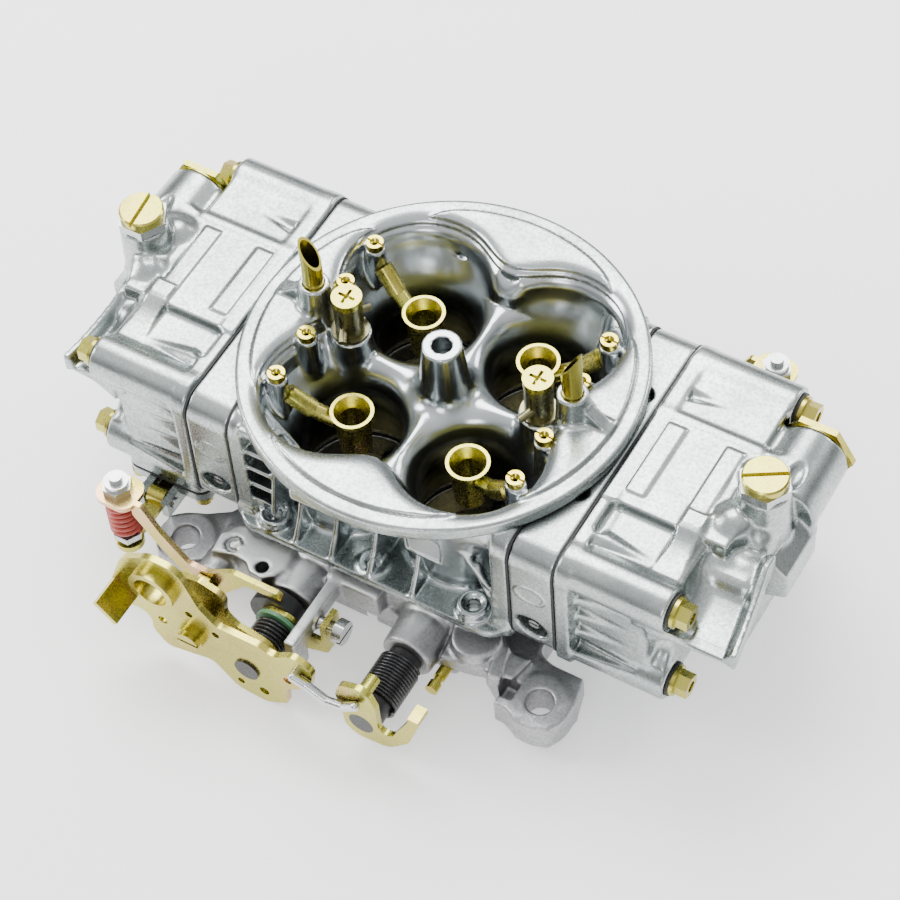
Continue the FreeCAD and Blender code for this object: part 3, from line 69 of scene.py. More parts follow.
def box(low, high, edge=0.8):
    low, high = np.minimum(low, high).astype(float), np.maximum(low, high).astype(float)
    middle, half = (low + high) / 2, (high - low) / 2
    edge = min(edge, half.min() * 0.98)

    def distance(x, y, z):
        q = [abs(p - c) - (h - edge) for p, c, h in zip((x, y, z), middle, half)]
        outside = np.sqrt(sum(np.maximum(v, 0) ** 2 for v in q))
        return outside + np.minimum(np.maximum(np.maximum(q[0], q[1]), q[2]), 0) - edge

    return distance, low, high


def rod(start, end, radius, end_radius=None, edge=0.6):
    """Cylinder or cone between two points."""
    start, end = np.array(start, float), np.array(end, float)
    length = np.linalg.norm(end - start)
    unit = (end - start) / length
    last = radius if end_radius is None else end_radius
    edge = min(edge, length * 0.45, max(min(radius, last), 0.05) * 0.9)

    def distance(x, y, z):
        rx, ry, rz = x - start[0], y - start[1], z - start[2]
        along = rx * unit[0] + ry * unit[1] + rz * unit[2]
        across = np.sqrt(np.maximum(rx * rx + ry * ry + rz * rz - along * along, 0))
        here = radius + (last - radius) * np.clip(along / length, 0, 1)
        a = across - here + edge
        b = abs(along - length / 2) - length / 2 + edge
        return np.sqrt(np.maximum(a, 0) ** 2 + np.maximum(b, 0) ** 2) + np.minimum(np.maximum(a, b), 0) - edge

    reach = max(radius, last)
    side = reach * np.sqrt(np.maximum(1 - unit ** 2, 0))
    return distance, np.minimum(start, end) - side, np.maximum(start, end) + side


def ball(centre, radii):
    centre, radii = np.array(centre, float), np.array(radii, float)

    def distance(x, y, z):
        k = np.sqrt(sum(((p - c) / r) ** 2 for p, c, r in zip((x, y, z), centre, radii)))
        return (k - 1) * radii.min()

    return distance, centre - radii, centre + radii


def prism(axis, low, high, outline, edge=0.6):
    """Outline of (u, v) points in the plane across the axis, between two heights along it."""
    points = np.array(outline, float)
    others = [i for i in range(3) if i != axis]
    middle, half = (low + high) / 2, abs(high - low) / 2
    edge = min(edge, half * 0.9)

    def distance(x, y, z):
        coords = (x, y, z)
        u, v, w = coords[others[0]], coords[others[1]], coords[axis]
        best = None
        inside = None
        for i in range(len(points)):
            a, b = points[i], points[(i + 1) % len(points)]
            e = b - a
            du, dv = u - a[0], v - a[1]
            part = np.clip((du * e[0] + dv * e[1]) / (e @ e), 0, 1)
            gap = (du - part * e[0]) ** 2 + (dv - part * e[1]) ** 2
            best = gap if best is None else np.minimum(best, gap)
            rise = e[1] if abs(e[1]) > 1e-9 else 1e-9
            crosses = ((a[1] <= v) != (b[1] <= v)) & (du < e[0] * (v - a[1]) / rise)
            inside = crosses if inside is None else inside ^ crosses
        flat = np.sqrt(best) * np.where(inside, -1, 1)
        p, q = flat + edge, abs(w - middle) - half + edge
        return np.sqrt(np.maximum(p, 0) ** 2 + np.maximum(q, 0) ** 2) + np.minimum(np.maximum(p, q), 0) - edge

    corner_low, corner_high = np.zeros(3), np.zeros(3)
    corner_low[others], corner_high[others] = points.min(0), points.max(0)
    corner_low[axis], corner_high[axis] = min(low, high), max(low, high)
    return distance, corner_low, corner_high


def slab(axis, low, high, radius, edge=0.6):
    """Box with rounded corners across one axis."""
    low, high = np.minimum(low, high).astype(float), np.maximum(low, high).astype(float)
    middle, half = (low + high) / 2, (high - low) / 2
    others = [i for i in range(3) if i != axis]

    def distance(x, y, z):
        coords = (x, y, z)
        q = [abs(coords[i] - middle[i]) - (half[i] - radius) for i in others]
        outside = np.sqrt(np.maximum(q[0], 0) ** 2 + np.maximum(q[1], 0) ** 2)
        flat = outside + np.minimum(np.maximum(*q), 0) - radius
        p, r = flat + edge, abs(coords[axis] - middle[axis]) - half[axis] + edge
        return np.sqrt(np.maximum(p, 0) ** 2 + np.maximum(r, 0) ** 2) + np.minimum(np.maximum(p, r), 0) - edge

    return distance, low, high


def blend_min(a, b, k):
    if k <= 0:
        return np.minimum(a, b)
    h = np.maximum(k - abs(a - b), 0) / k
    return np.minimum(a, b) - h * h * k / 4


class Casting:
    """A solid built up on a grid and turned into a smooth mesh."""

    def __init__(self, low, high, step):
        self.step = step
        self.low = np.array(low, float) - 2.37 * step
        count = np.ceil((np.array(high, float) - self.low) / step).astype(int) + 3
        self.axes = [(self.low[i] + step * np.arange(count[i])).astype(np.float32) for i in range(3)]
        self.field = np.full(count, 4.0, np.float32)

    def _window(self, low, high, pad):
        reach = pad + 2 * self.step
        low, high = np.array(low, float) - reach, np.array(high, float) + reach
        cuts = []
        for i in range(3):
            first, last = np.searchsorted(self.axes[i], (low[i], high[i]))
            cuts.append(slice(first, last))
        x, y, z = (self.axes[i][cuts[i]] for i in range(3))
        return tuple(cuts), (x[:, None, None], y[None, :, None], z[None, None, :])

    def add(self, shape, k=0.0):
        distance, low, high = shape
        window, coords = self._window(low, high, k)
        self.field[window] = blend_min(self.field[window], distance(*coords), k)

    def cut(self, shape, k=0.0):
        distance, low, high = shape
        window, coords = self._window(low, high, k)
        self.field[window] = -blend_min(-self.field[window], distance(*coords), k)

    def mesh(self):
        """Vertices in millimetres and quads, one vertex per grid cell that the surface crosses."""
        f = self.field
        inside = f < 0
        total = np.zeros(np.array(f.shape) - 1, np.int8)
        for corner in np.ndindex(2, 2, 2):
            total += inside[tuple(slice(c, c + n) for c, n in zip(corner, total.shape))]
        cells = np.argwhere((total > 0) & (total < 8))
        index = np.full(total.shape, -1, np.int32)
        index[tuple(cells.T)] = np.arange(len(cells))
        places = np.zeros((len(cells), 3))
        weight = np.zeros(len(cells))
        for axis in range(3):
            for offset in np.ndindex(2, 2):
                near = list(offset)
                near.insert(axis, 0)
                far = list(offset)
                far.insert(axis, 1)
                a = f[tuple((cells + near).T)]
                b = f[tuple((cells + far).T)]
                crossing = (a < 0) != (b < 0)
                part = np.where(crossing, a / np.where(crossing, a - b, 1), 0)
                spot = np.tile(np.array(near, float), (len(cells), 1))
                spot[:, axis] = part
                places[crossing] += spot[crossing]
                weight[crossing] += 1
        points = self.low + self.step * (cells + places / weight[:, None])
        quads = []
        for axis in range(3):
            one, two = [i for i in range(3) if i != axis]
            inner = [slice(None)] * 3
            inner[one], inner[two] = slice(1, -1), slice(1, -1)
            a = inside[tuple(slice(None, -1) if i == axis else inner[i] for i in range(3))]
            b = inside[tuple(slice(1, None) if i == axis else inner[i] for i in range(3))]
            for state, flip in ((a & ~b, axis == 1), (~a & b, axis != 1)):
                where = np.argwhere(state)
                where[:, one] += 1
                where[:, two] += 1
                ring = []
                for du, dv in ((1, 1), (0, 1), (0, 0), (1, 0)):
                    cell = where.copy()
                    cell[:, one] -= du
                    cell[:, two] -= dv
                    ring.append(index[tuple(cell.T)])
                quad = np.stack(ring, 1)
                quads.append(quad[:, ::-1] if flip else quad)
        return points, np.concatenate(quads)


def piece_from(name, points, quads, node, mirror=False, body=BODY):
    points = points.copy()
    if mirror:
        points[:, 0] *= -1
        quads = quads[:, ::-1]
    mesh = bpy.data.meshes.new(name)
    mesh.vertices.add(len(points))
    mesh.vertices.foreach_set("co", (points / 1000).astype(np.float32).ravel())
    mesh.loops.add(quads.size)
    mesh.loops.foreach_set("vertex_index", quads.astype(np.int32).ravel())
    mesh.polygons.add(len(quads))
    mesh.polygons.foreach_set("loop_start", np.arange(0, quads.size, 4, dtype=np.int32))
    mesh.polygons.foreach_set("use_smooth", np.ones(len(quads), bool))
    mesh.update()
    mesh.validate()
    piece = bpy.data.objects.new(name, mesh)
    bpy.context.scene.collection.objects.link(piece)
    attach(piece, body)
    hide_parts(node)
    return piece


# ---------------------------------------------------------------- castings

BARREL = (22.75, 24.1)
STUD = (71.5, 65.5)
FLANGE_TOP = 11.5
SHAFT_Z = 12
BOWL_SCREW_Y = 45.3
BOWL_SCREW_HEIGHTS = (28.6, 69.95)
BODY_SCREWS = [(39.5 * sx, 53 * sy) for sx, sy in CORNERS]
END_SCREWS = [(0, 53), (0, -53)]
NOZZLE_X = 37
VENT_X = 50
PUMP_PIVOT_X = 54
SEAT_X = 120.5
INLET_X, INLET_Z = 122.1, 66


def bell_radius(z):
    """Radius of a barrel from the throttle bore through the venturi to the rim, with the corners smoothed."""
    heights = (15, 25, 40, 47, 51, 55, 58, 61, 64, 67, 70, 73, 77, 80, 82, 83.5, 84.6, 95)
    radii = (21.0, 20.9, 18.3, 17.5, 17.5, 17.9, 18.6, 19.8, 21.3,
             22.9, 24.1, 24.7, 25.0, 25.3, 25.7, 26.3, 27.0, 33.0)
    fine = np.arange(10.0, 96.0, 0.25)
    kernel = np.exp(-(np.arange(-12, 13) * 0.25 / 1.2) ** 2)
    curve = np.interp(fine, heights, radii)
    curve[12:-12] = np.convolve(curve, kernel / kernel.sum(), "valid")
    return np.interp(z, fine, curve)


def bores():
    """The four barrels and the open air horn above them."""
    def distance(x, y, z):
        ax, ay = abs(x), abs(y)
        lift = np.clip((z - 50) / 24, 0, 1)
        cx, cy = 22.75 + 2.75 * lift, 24.1 + 2.9 * lift
        radius = bell_radius(z)
        blend = 1.5 + 13 * np.clip((z - 66) / 12, 0, 1)

        def well(px, py):
            return (np.sqrt((ax - px) ** 2 + (ay - py) ** 2) - radius) * 0.8

        shape = well(cx, cy)
        for px, py in ((-cx, cy), (cx, -cy)):
            other = well(px, py)
            h = np.maximum(blend - abs(shape - other), 0) / blend
            shape = np.minimum(shape, other) - h * h * blend / 4
        return shape

    return distance, np.array([-54.0, -56.0, 10.0]), np.array([54.0, 56.0, 95.0])


def saddle():
    """The space over the ridges between the bells."""
    def distance(x, y, z):
        ax, ay = abs(x), abs(y)
        out = np.clip((np.sqrt(x * x + y * y) - 12) / 22, 0, 1)
        floor = 66.5 + 2.2 * out + 6 * np.clip((ax - 36) / 10, 0, 1)
        oval = (np.sqrt((ax / 47) ** 2 + (ay / 38) ** 2) - 1) * 38
        return np.maximum(floor - z, oval)

    return distance, np.array([-48.0, -39.0, 64.0]), np.array([48.0, 39.0, 96.0])


def main_body():
    c = Casting((-71, -71, 19), (71, 71, 96), STEP)
    low, high = BOWL_SCREW_HEIGHTS
    for side in SIDES:
        c.add(slab(0, (47.6 * side, -54, 20), (54 * side, 54, 76.6), 8, 0.5))
        for sy in SIDES:
            for start, z in ((36, high), (46, low)):
                y = BOWL_SCREW_Y * sy
                c.add(rod((start * side, y, z), (54 * side, y, z), 6.6, edge=2), 2)
    for sx, sy in CORNERS:
        c.add(rod((BARREL[0] * sx, BARREL[1] * sy, 25.4), (26 * sx, 27.5 * sy, 80), 23.4, 30.5), 3)
    c.add(box((-46, -38, 25.4), (46, 38, 78), 1), 3)
    c.add(rod((0, -30, 60), (0, 30, 60), 10), 3)
    c.add(slab(2, (-54, -59.6, 25.4), (54, 59.6, 28.6), 9, 0.5), 5)
    profile = rod((0, 0, 66), (0, 0, 77.4), 52, 66, edge=0.4)
    c.add(profile, 4)
    for turn in SIDES:
        for x in (-28.6, -14.2, 1.0, 18.0):
            outline = [(-59.2, 28.0), (-40, 28.0), (-40, 66), (-51.5, 64), (-51.5, 47), (-54.2, 38)]
            outline = [(y * turn, z) for y, z in outline]
            c.add(prism(0, x * turn - 1.0, x * turn + 1.0, outline, 0.8), 1.4)
        c.add(box((-50 * turn, -40 * turn, 30), (-38.5 * turn, -53.6 * turn, 75), 0.6), 1.0)
        for level in range(4):
            z = 40.0 + 9.2 * level
            c.cut(box((-48.2 * turn, -42 * turn, z - 3.4), (-37 * turn, -56 * turn, z + 3.9), 0.9), 0.8)
        web = [(-40 * turn, 28), (-40 * turn, 72), (-52 * turn, 60), (-57 * turn, 34)]
        c.add(prism(0, -38.8 * turn, -37.2 * turn, web, 0.6), 0.8)
        for x0, x1 in ((30, 48.5), (36, 48.5), (41, 48.5)):
            lean = x0 - 30
            start, end = (x0 * turn, -50.5 * turn, 66 - lean), (x1 * turn, -53 * turn, 44 - lean)
            c.add(rod(start, end, 0.9, edge=0.5), 1.5)
        shield = [(13 * turn, 46), (29 * turn, 46), (30 * turn, 62), (21 * turn, 70), (12 * turn, 62)]
        c.add(prism(1, -52.6 * turn, -44 * turn, shield, 1.2), 1.5)
        inner = [(14.6 * turn, 47.6), (27.4 * turn, 47.6), (28.2 * turn, 61.2)]
        inner += [(21 * turn, 68), (13.6 * turn, 61.2)]
        c.cut(prism(1, -52.0 * turn, -56 * turn, inner, 0.6), 0.8)
        pad = [(-21 * turn, 70.5), (-9 * turn, 70.5), (-9 * turn, 75), (-21 * turn, 75)]
        c.add(prism(1, -66.5 * turn, -60 * turn, pad, 0.6), 1)
    for x, y in BODY_SCREWS + END_SCREWS:
        top = 33 if x else 29.5
        c.add(rod((x, y, 25.4), (x, y, top), 6.2, 5.6, edge=0.8), 1.5)
    c.add(rod((0, 0, 77), (0, 0, 82.85), 70.4, edge=1.1), 0.8)
    c.add(rod((0, 0, 80), (0, 0, 84.3), 65.1, edge=1.0), 0.6)
    cavity = bores()
    c.cut(saddle(), 5)
    c.cut(cavity, 6)
    for x, y in bleed_places():
        c.add(rod((x, y, 64), (x, y, 81.2), 3.9, 3.6, edge=0.4), 2.0)
    for side in SIDES:
        c.add(rod((VENT_X * side, 0, 70), (VENT_X * side, 0, 95), 6.6, 5.4, edge=0.5), 2.5)
        rib = [(48 * side, 92), (52 * side, 94), (64.5 * side, 84), (64.5 * side, 77), (48 * side, 77)]
        c.add(prism(1, -2.6, 2.6, rib, 1.0), 1.5)
        c.add(rod((NOZZLE_X * side, 0, 60), (NOZZLE_X * side, 0, 76), 8.0, 7.2, edge=0.4), 2.5)
    c.add(rod((0, 0, 58), (0, 0, 90.3), 10.2, 6.9, edge=0.5), 5)
    c.cut(rod((0, 0, 72.3), (0, 0, 96), 3.45, edge=0.1))
    for turn in range(7):
        z = 74 + 2.2 * turn
        c.cut(rod((0, 0, z), (0, 0, z + 1.0), 3.95, edge=0.4), 0.4)
    for x, y in bleed_places():
        c.cut(rod((x, y, 77.5), (x, y, 92), 1.9, edge=0.1))
        c.cut(rod((x, y, 81.2), (x, y, 92), 3.05, edge=0.1))
    for side in SIDES:
        c.cut(rod((VENT_X * side, 0, 82), (VENT_X * side, 0, 99), 3.6, edge=0.1))
        c.cut(rod((NOZZLE_X * side, 0, 62), (NOZZLE_X * side, 0, 80), 2.4, edge=0.1))
        for sy in SIDES:
            for start, z in ((49, high), (47, low)):
                y = BOWL_SCREW_Y * sy
                c.cut(rod((start * side, y, z), (56 * side, y, z), 2.5, edge=0.1))
    for x, y in BODY_SCREWS:
        c.cut(rod((x, y, 24), (x, y, 36), 2.4, edge=0.1))
        c.cut(rod((x, y, 32), (x, y, 36), 3.6, edge=0.1), 0.6)
    for x, y in END_SCREWS:
        c.cut(rod((x, y, 24), (x, y, 35), 2.4, edge=0.1))
    points, quads = c.mesh()
    piece = piece_from("main_body_casting", points, quads, "main_body")
    near = cavity[0](*(points[:, i] for i in range(3)))
    radius = np.hypot(points[:, 0], points[:, 1])
    below_rim = np.clip((84.6 - points[:, 2]) / 2.5, 0, 1)
    polish = np.clip(1.4 - near / 3.0, 0, 1) * (points[:, 2] > 30) * below_rim
    saddle_near = saddle()[0](*(points[:, i] for i in range(3)))
    polish = np.maximum(polish, np.clip(1.2 - saddle_near / 4, 0, 1) * (radius < 60))
    flank = np.clip((abs(points[:, 1]) - 43) / 3, 0, 1) * (abs(points[:, 0]) < 46) * (points[:, 2] < 75)
    polish = np.maximum(polish, 0.75 * flank * (points[:, 2] > 29))
    mark(piece, "polish", polish)
    # Painted shade mask: 1 deep in the barrels below the venturi, where the bore colour is painted near
    # black.
    bore_shade = np.clip((61 - points[:, 2]) / 14, 0, 1) * (near < 1.0)
    mark(piece, "bore_shade", bore_shade)


def mark(piece, name, values):
    """Stores a number per vertex for the materials to read."""
    attribute = piece.data.attributes.new(name, "FLOAT", "POINT")
    attribute.data.foreach_set("value", np.asarray(values, np.float32))


def bleed_places():
    return [(46.15 * sx, y * sy) for sx, sy in CORNERS for y in (12.8, 32.2)]


def metering_block():
    c = Casting((54, -55, 21), (72, 55, 77.5), STEP)
    c.add(slab(0, (54.8, -54, 22), (70.8, 54, 76.5), 9, 0.45))
    for sy in SIDES:
        c.add(ring_mark(62.6, 54.0 * sy, 55.0), 0.5)
        for slide, radius in ((0, 5.0), (-1.4, 4.6), (2.2, 4.0)):
            x, z = 62.8 - slide, 36 + 0.4 * slide
            c.cut(rod((x, 49 * sy, z), (x, 56 * sy, z), radius - 0.9, radius, edge=0.6), 0.6)
        c.cut(rod((62.8, 23.5 * sy, 36), (62.8, 56 * sy, 36), 2.45, edge=0.1))
        for z in BOWL_SCREW_HEIGHTS:
            c.cut(rod((52, BOWL_SCREW_Y * sy, z), (74, BOWL_SCREW_Y * sy, z), 3.0, edge=0.1))
        c.cut(rod((64.5, 22.5 * sy, 73), (64.5, 22.5 * sy, 79), 3.1, edge=0.2), 0.3)
        c.cut(rod((58.5, 29 * sy, 73), (58.5, 29 * sy, 79), 2.0, edge=0.2), 0.3)
        c.cut(rod((60, 14 * sy, 33), (74, 14 * sy, 33), 3.0, edge=0.1))
    c.cut(rod((52, 0, 45), (74, 0, 45), 6.5, edge=0.1))
    return c.mesh()


def ring_mark(x, y, z):
    """Thin raised oval on the side of the block."""
    def distance(px, py, pz):
        k = np.sqrt(((px - x) / 5.4) ** 2 + ((pz - z) / 4.1) ** 2)
        across = abs((k - 1) * 4.6) - 0.35
        deep = abs(py - y) - 0.3
        return np.maximum(across, deep) - 0.1

    return distance, np.array([x - 7, y - 0.6, z - 6]), np.array([x + 7, y + 0.6, z + 6])


def wing(end):
    """Curved shelf beside the end of the bowl, with a raised outer rim."""
    def distance(x, y, z):
        near = np.clip((y + 50) / 32, 0, 1)
        edge = end - 4.5 * near
        rim = np.clip((x - (edge - 5)) / 3.5, 0, 1)
        neck = np.clip((121 - 3 * near - x) / 11, 0, 1)
        top = 62.6 + 6.5 * near ** 2 + 4.2 * rim ** 2 * (3 - 2 * rim) + 9.5 * neck ** 2
        under = 61.0 + 4.5 * near ** 2 - 1.5 * rim - 8 * near * (1 - rim)
        sheet = np.maximum(z - top, under - z) * 0.75
        sides = np.maximum(np.maximum(x - edge, 100 - x), np.maximum(-50.4 - y, y + 13))
        return np.maximum(sheet, sides)

    return distance, np.array([100.0, -50.4, 52.0]), np.array([end, -13.0, 86.0])


def fuel_bowl(pump_side, nose_end, wing_end):
    """Float bowl at the +X end in local form."""
    c = Casting((71, -55, 16), (137, 55, 89), STEP)
    c.add(slab(0, (71.6, -54, 18.6), (76.8, 54, 76.8), 8.5, 0.6))
    c.add(slab(2, (71.6, -46, 17), (108.5, 46, 72), 3, 1.2), 2)
    c.add(slab(1, (71.6, -49.8, 25), (110.5, 49.8, 70), 3, 1.2), 2)
    for sy in SIDES:
        for z in BOWL_SCREW_HEIGHTS:
            c.add(rod((72, BOWL_SCREW_Y * sy, z), (111.1, BOWL_SCREW_Y * sy, z), 8.0, edge=0.9), 1.6)
        hollow = rod((104, 52 * sy, 47), (113, 52 * sy, 47), 9.5, edge=3)
        c.cut(hollow, 3)
    c.add(box((72, -20.6, 50), (117.5, 20.6, 77.3), 1.0), 2.2)
    for sy in SIDES:
        top = 77.0 if sy == 1 else 74.0
        c.add(box((72, 18 * sy, 60), (110.2, 45 * sy, top), 1.0), 2.4)
    c.add(box((104, -21, 24), (nose_end - 9.5, 21, 70), 2.5), 3)
    c.add(rod((SEAT_X, 0, 58), (SEAT_X, 0, 88), 9.6, 8.8, edge=0.5), 4)
    for sy in SIDES:
        c.add(ball((114.5, 9.5 * sy, 74), (7.5, 6.5, 7)), 3)
    c.add(ball((nose_end - 11, -8.5, 69), (5, 5, 7)), 3)
    low = nose_end - 11
    nose = [(112, 65), (nose_end - 5.5, 65.2), (nose_end, 60), (nose_end, 48), (low, 43), (112, 43)]
    c.add(prism(1, -11.2, 11.2, nose, 0.7), 1.2)
    c.add(wing(wing_end), 2.5)
    c.add(box((107, -27, 58), (wing_end - 7, -14, 69.5), 3), 4)
    c.add(prism(1, -50.6, -47, [(104, 54), (104, 62.2), (wing_end - 2, 62.4), (112, 60)], 0.6), 1.5)
    c.add(rod((INLET_X, 8, INLET_Z), (INLET_X, 35, INLET_Z), 12.9, 12.4, edge=1.0), 3)
    c.add(box((108, 10, 56), (122, 34, 74), 3), 3)
    c.cut(ball((124.6, 15.0, 79.6), (3.2, 6.2, 3.0)), 0.8)
    x, y, half = 89, 34 * pump_side, 17
    c.add(slab(2, (x - half, y - half, 17), (x + half, y + half, 30), 5, 0.6), 1)
    for x0, x1 in ((77.6, 84.6), (99.2, 106.0)):
        c.add(box((x0, -15.6, 76), (x1, 15.6, 78.0), 0.35), 0.3)
    for sy in SIDES:
        if sy == 1:
            c.cut(rod((78.5, 29.5, 77.4), (92, 30.5, 78.4), 2.2, 0.6, edge=0.3), 1.5)
        else:
            c.add(rod((77, -34, 72.4), (99, -34.6, 72.6), 4.2, 0.9, edge=0.4), 1.0)
            c.cut(rod((77.5, -33, 75.5), (77.5, -21.5, 75.5), 1.6, edge=0.8), 2)
        for z in (33, 42.5, 52, 61.5):
            c.cut(rod((77.5, 50.6 * sy, z), (100, 51.4 * sy, z + 1.2), 2.9, 0.6, edge=0.3), 1.2)
    c.cut(slab(2, (70, -33, 27), (107, 33, 70), 4, 2.5), 1)
    c.cut(box((100, -8, 47), (129, 8, 60), 0.6))
    c.cut(rod((SEAT_X, 0, 50), (SEAT_X, 0, 90), 5.5, edge=0.1))
    c.cut(rod((INLET_X, 22, INLET_Z), (INLET_X, 37, INLET_Z), 10.9, edge=0.1))
    c.cut(rod((INLET_X, 3, INLET_Z), (INLET_X, 25, INLET_Z), 4.5, edge=0.1))
    c.cut(rod((126, -9.5, 54), (126, 9.5, 54), 1.5, edge=0.05))
    c.cut(rod((INLET_X, 35, INLET_Z), (INLET_X, 38.1, INLET_Z), 14.2, edge=0.1), 0.3)
    c.cut(rod((x, y, 15), (x, y, 24), 13, edge=0.1))
    for dx, dy in CORNERS:
        c.cut(rod((x + 13.5 * dx, y + 13.5 * dy, 15), (x + 13.5 * dx, y + 13.5 * dy, 25), 1.8, edge=0.1))
    for sy in SIDES:
        for z in BOWL_SCREW_HEIGHTS:
            c.cut(rod((70, BOWL_SCREW_Y * sy, z), (124, BOWL_SCREW_Y * sy, z), 3.0, edge=0.1))
            c.cut(rod((111.1, BOWL_SCREW_Y * sy, z), (119, BOWL_SCREW_Y * sy, z), 7.6, edge=0.3), 0.5)
    return c.mesh()


def swirl(c, centre):
    """Plugged passage, cut as a hooked groove on the machined pad."""
    x, y, z = centre
    for turn in range(9):
        angle = math.radians(40 + 33 * turn)
        spot = x + 2.6 * math.cos(angle), y + 2.6 * math.sin(angle)
        c.cut(rod((*spot, z - 1.2), (*spot, z + 1), 0.85, edge=0.1), 0.4)
    c.add(rod((x, y, z - 1), (x + 2.2, y + 1.6, z + 0.3), 1.3, edge=0.5), 0.4)


def throttle_body():
    c = Casting((-84, -93, -1), (84, 80, 25.5), STEP)
    c.add(slab(2, (-62, -58, 0), (62, 58, FLANGE_TOP), 8, 0.9))
    for sx, sy in CORNERS:
        x, y = STUD[0] * sx, STUD[1] * sy
        c.add(rod((x, y, 0), (x, y, FLANGE_TOP), 10.8, edge=0.9), 0.5)
        web = [(48 * sx, 46 * sy), (60 * sx, 46 * sy), (x + 10.2 * sx, y - 5 * sy)]
        web += [(x - 4 * sx, y + 10 * sy), (48 * sx, 62 * sy)]
        c.add(prism(2, 0, FLANGE_TOP, web, 0.9), 2)
    foot = [(57.5, -73), (79, -74.4), (82.6, -60), (80, -50), (58, -50)]
    c.add(prism(2, 0, FLANGE_TOP, foot, 1.2), 2)
    c.add(slab(2, (-47.2, -56, 0), (47.2, 56, 24.6), 10, 0.5), 1)
    pad = [(-55.7, -71.5), (-56.7, -63.2), (-52.7, -57.6), (-47, -55.5), (-30, -55.5),
           (-29.2, -65), (-30.8, -70), (-34, -73), (-39, -72.5), (-42.5, -69.5), (-47.8, -69.1)]
    c.add(prism(2, 11, 22, pad, 0.8), 0.8)
    for side in SIDES:
        x = BARREL[0] * side
        c.add(rod((x, -72, SHAFT_Z), (x, -50, SHAFT_Z), 9.5, 10.5, edge=1.2), 4)
        c.add(rod((x, 50, SHAFT_Z), (x, 64, SHAFT_Z), 9.5, edge=1.2), 4)
        pivot = PUMP_PIVOT_X * side
        c.add(rod((pivot, -56 * -side, 13), (pivot, 76.5 * side, 13), 6, edge=0.6), 2)
    c.add(box((-13.1, -92, 15), (-9, -50, 23), 0.8), 0.6)
    c.add(box((-13.1, -92, 5), (-9, -84, 23), 0.8), 0.6)
    c.add(box((-15, -62, 11), (6, -50, 22.5), 1.2), 2)
    c.add(rod((-10, -77, 19), (-8, -77, 19), 3.4, edge=0.3), 0.4)
    c.add(rod((35.5, -66, 8), (35.5, -50, 8), 4.5, edge=0.8), 2)
    c.add(rod((42.4, -57, 10), (42.4, -57, 19.5), 9.5, 8.6, edge=1.0), 1.5)
    c.add(prism(2, 10, 17.5, [(49, -54), (53.5, -54), (57, -67), (52.5, -68)], 0.8), 1.5)
    c.add(prism(2, 10, 15.5, [(33, -56), (62, -54), (60, -64), (34, -68)], 0.8), 2)
    c.cut(box((56.8, -69.4, 6), (62.5, -62.4, 14), 1.0), 0.8)
    for sx, sy in CORNERS:
        x, y = BARREL[0] * sx, BARREL[1] * sy
        c.cut(rod((x, y, -2), (x, y, 27), 21, edge=0.1))
        x, y = STUD[0] * sx, STUD[1] * sy
        c.cut(rod((x, y, -2), (x, y, 14), 4.9, edge=0.1), 0.5)
    for x, y in BODY_SCREWS + END_SCREWS:
        c.cut(rod((x, y, -2), (x, y, 27), 2.4, edge=0.1))
        c.cut(rod((x, y, -2), (x, y, 5.5), 5.2, edge=0.1))
    for side in SIDES:
        x = BARREL[0] * side
        c.cut(rod((x, -80, SHAFT_Z), (x, 80, SHAFT_Z), 4.81, edge=0.1))
        c.cut(rod((PUMP_PIVOT_X * side, 62 * side, 13), (PUMP_PIVOT_X * side, 80 * side, 13), 2.4, edge=0.1))
    c.cut(rod((35.5, -68, 8), (35.5, -58, 8), 1.6, edge=0.1))
    c.cut(rod((-36.3, -68.7, 13), (-36.3, -68.7, 24), 2.4, edge=0.1), 0.3)
    swirl(c, (-50.0, -65.2, 22))
    return c.mesh()


def build_castings():
    main_body()
    # The block and bowls are made at the +X end, and the primary ones are mirrored.
    points, quads = metering_block()
    piece_from("secondary_metering_block_casting", points, quads, "secondary_metering_block")
    piece_from("primary_metering_block_casting", points, quads, "primary_metering_block", True)
    points, quads = fuel_bowl(1, 135.0, 136.0)
    piece_from("secondary_fuel_bowl_casting", points, quads, "secondary_fuel_bowl")
    points, quads = fuel_bowl(-1, 131.0, 124.5)
    piece_from("primary_fuel_bowl_casting", points, quads, "primary_fuel_bowl", True)
    points, quads = throttle_body()
    piece = piece_from("throttle_body_casting", points, quads, "throttle_body")
    mark(piece, "machined", np.clip((points[:, 2] - 21.2) / 0.5, 0, 1) * (points[:, 1] < -50))


# ---------------------------------------------------------------- materials

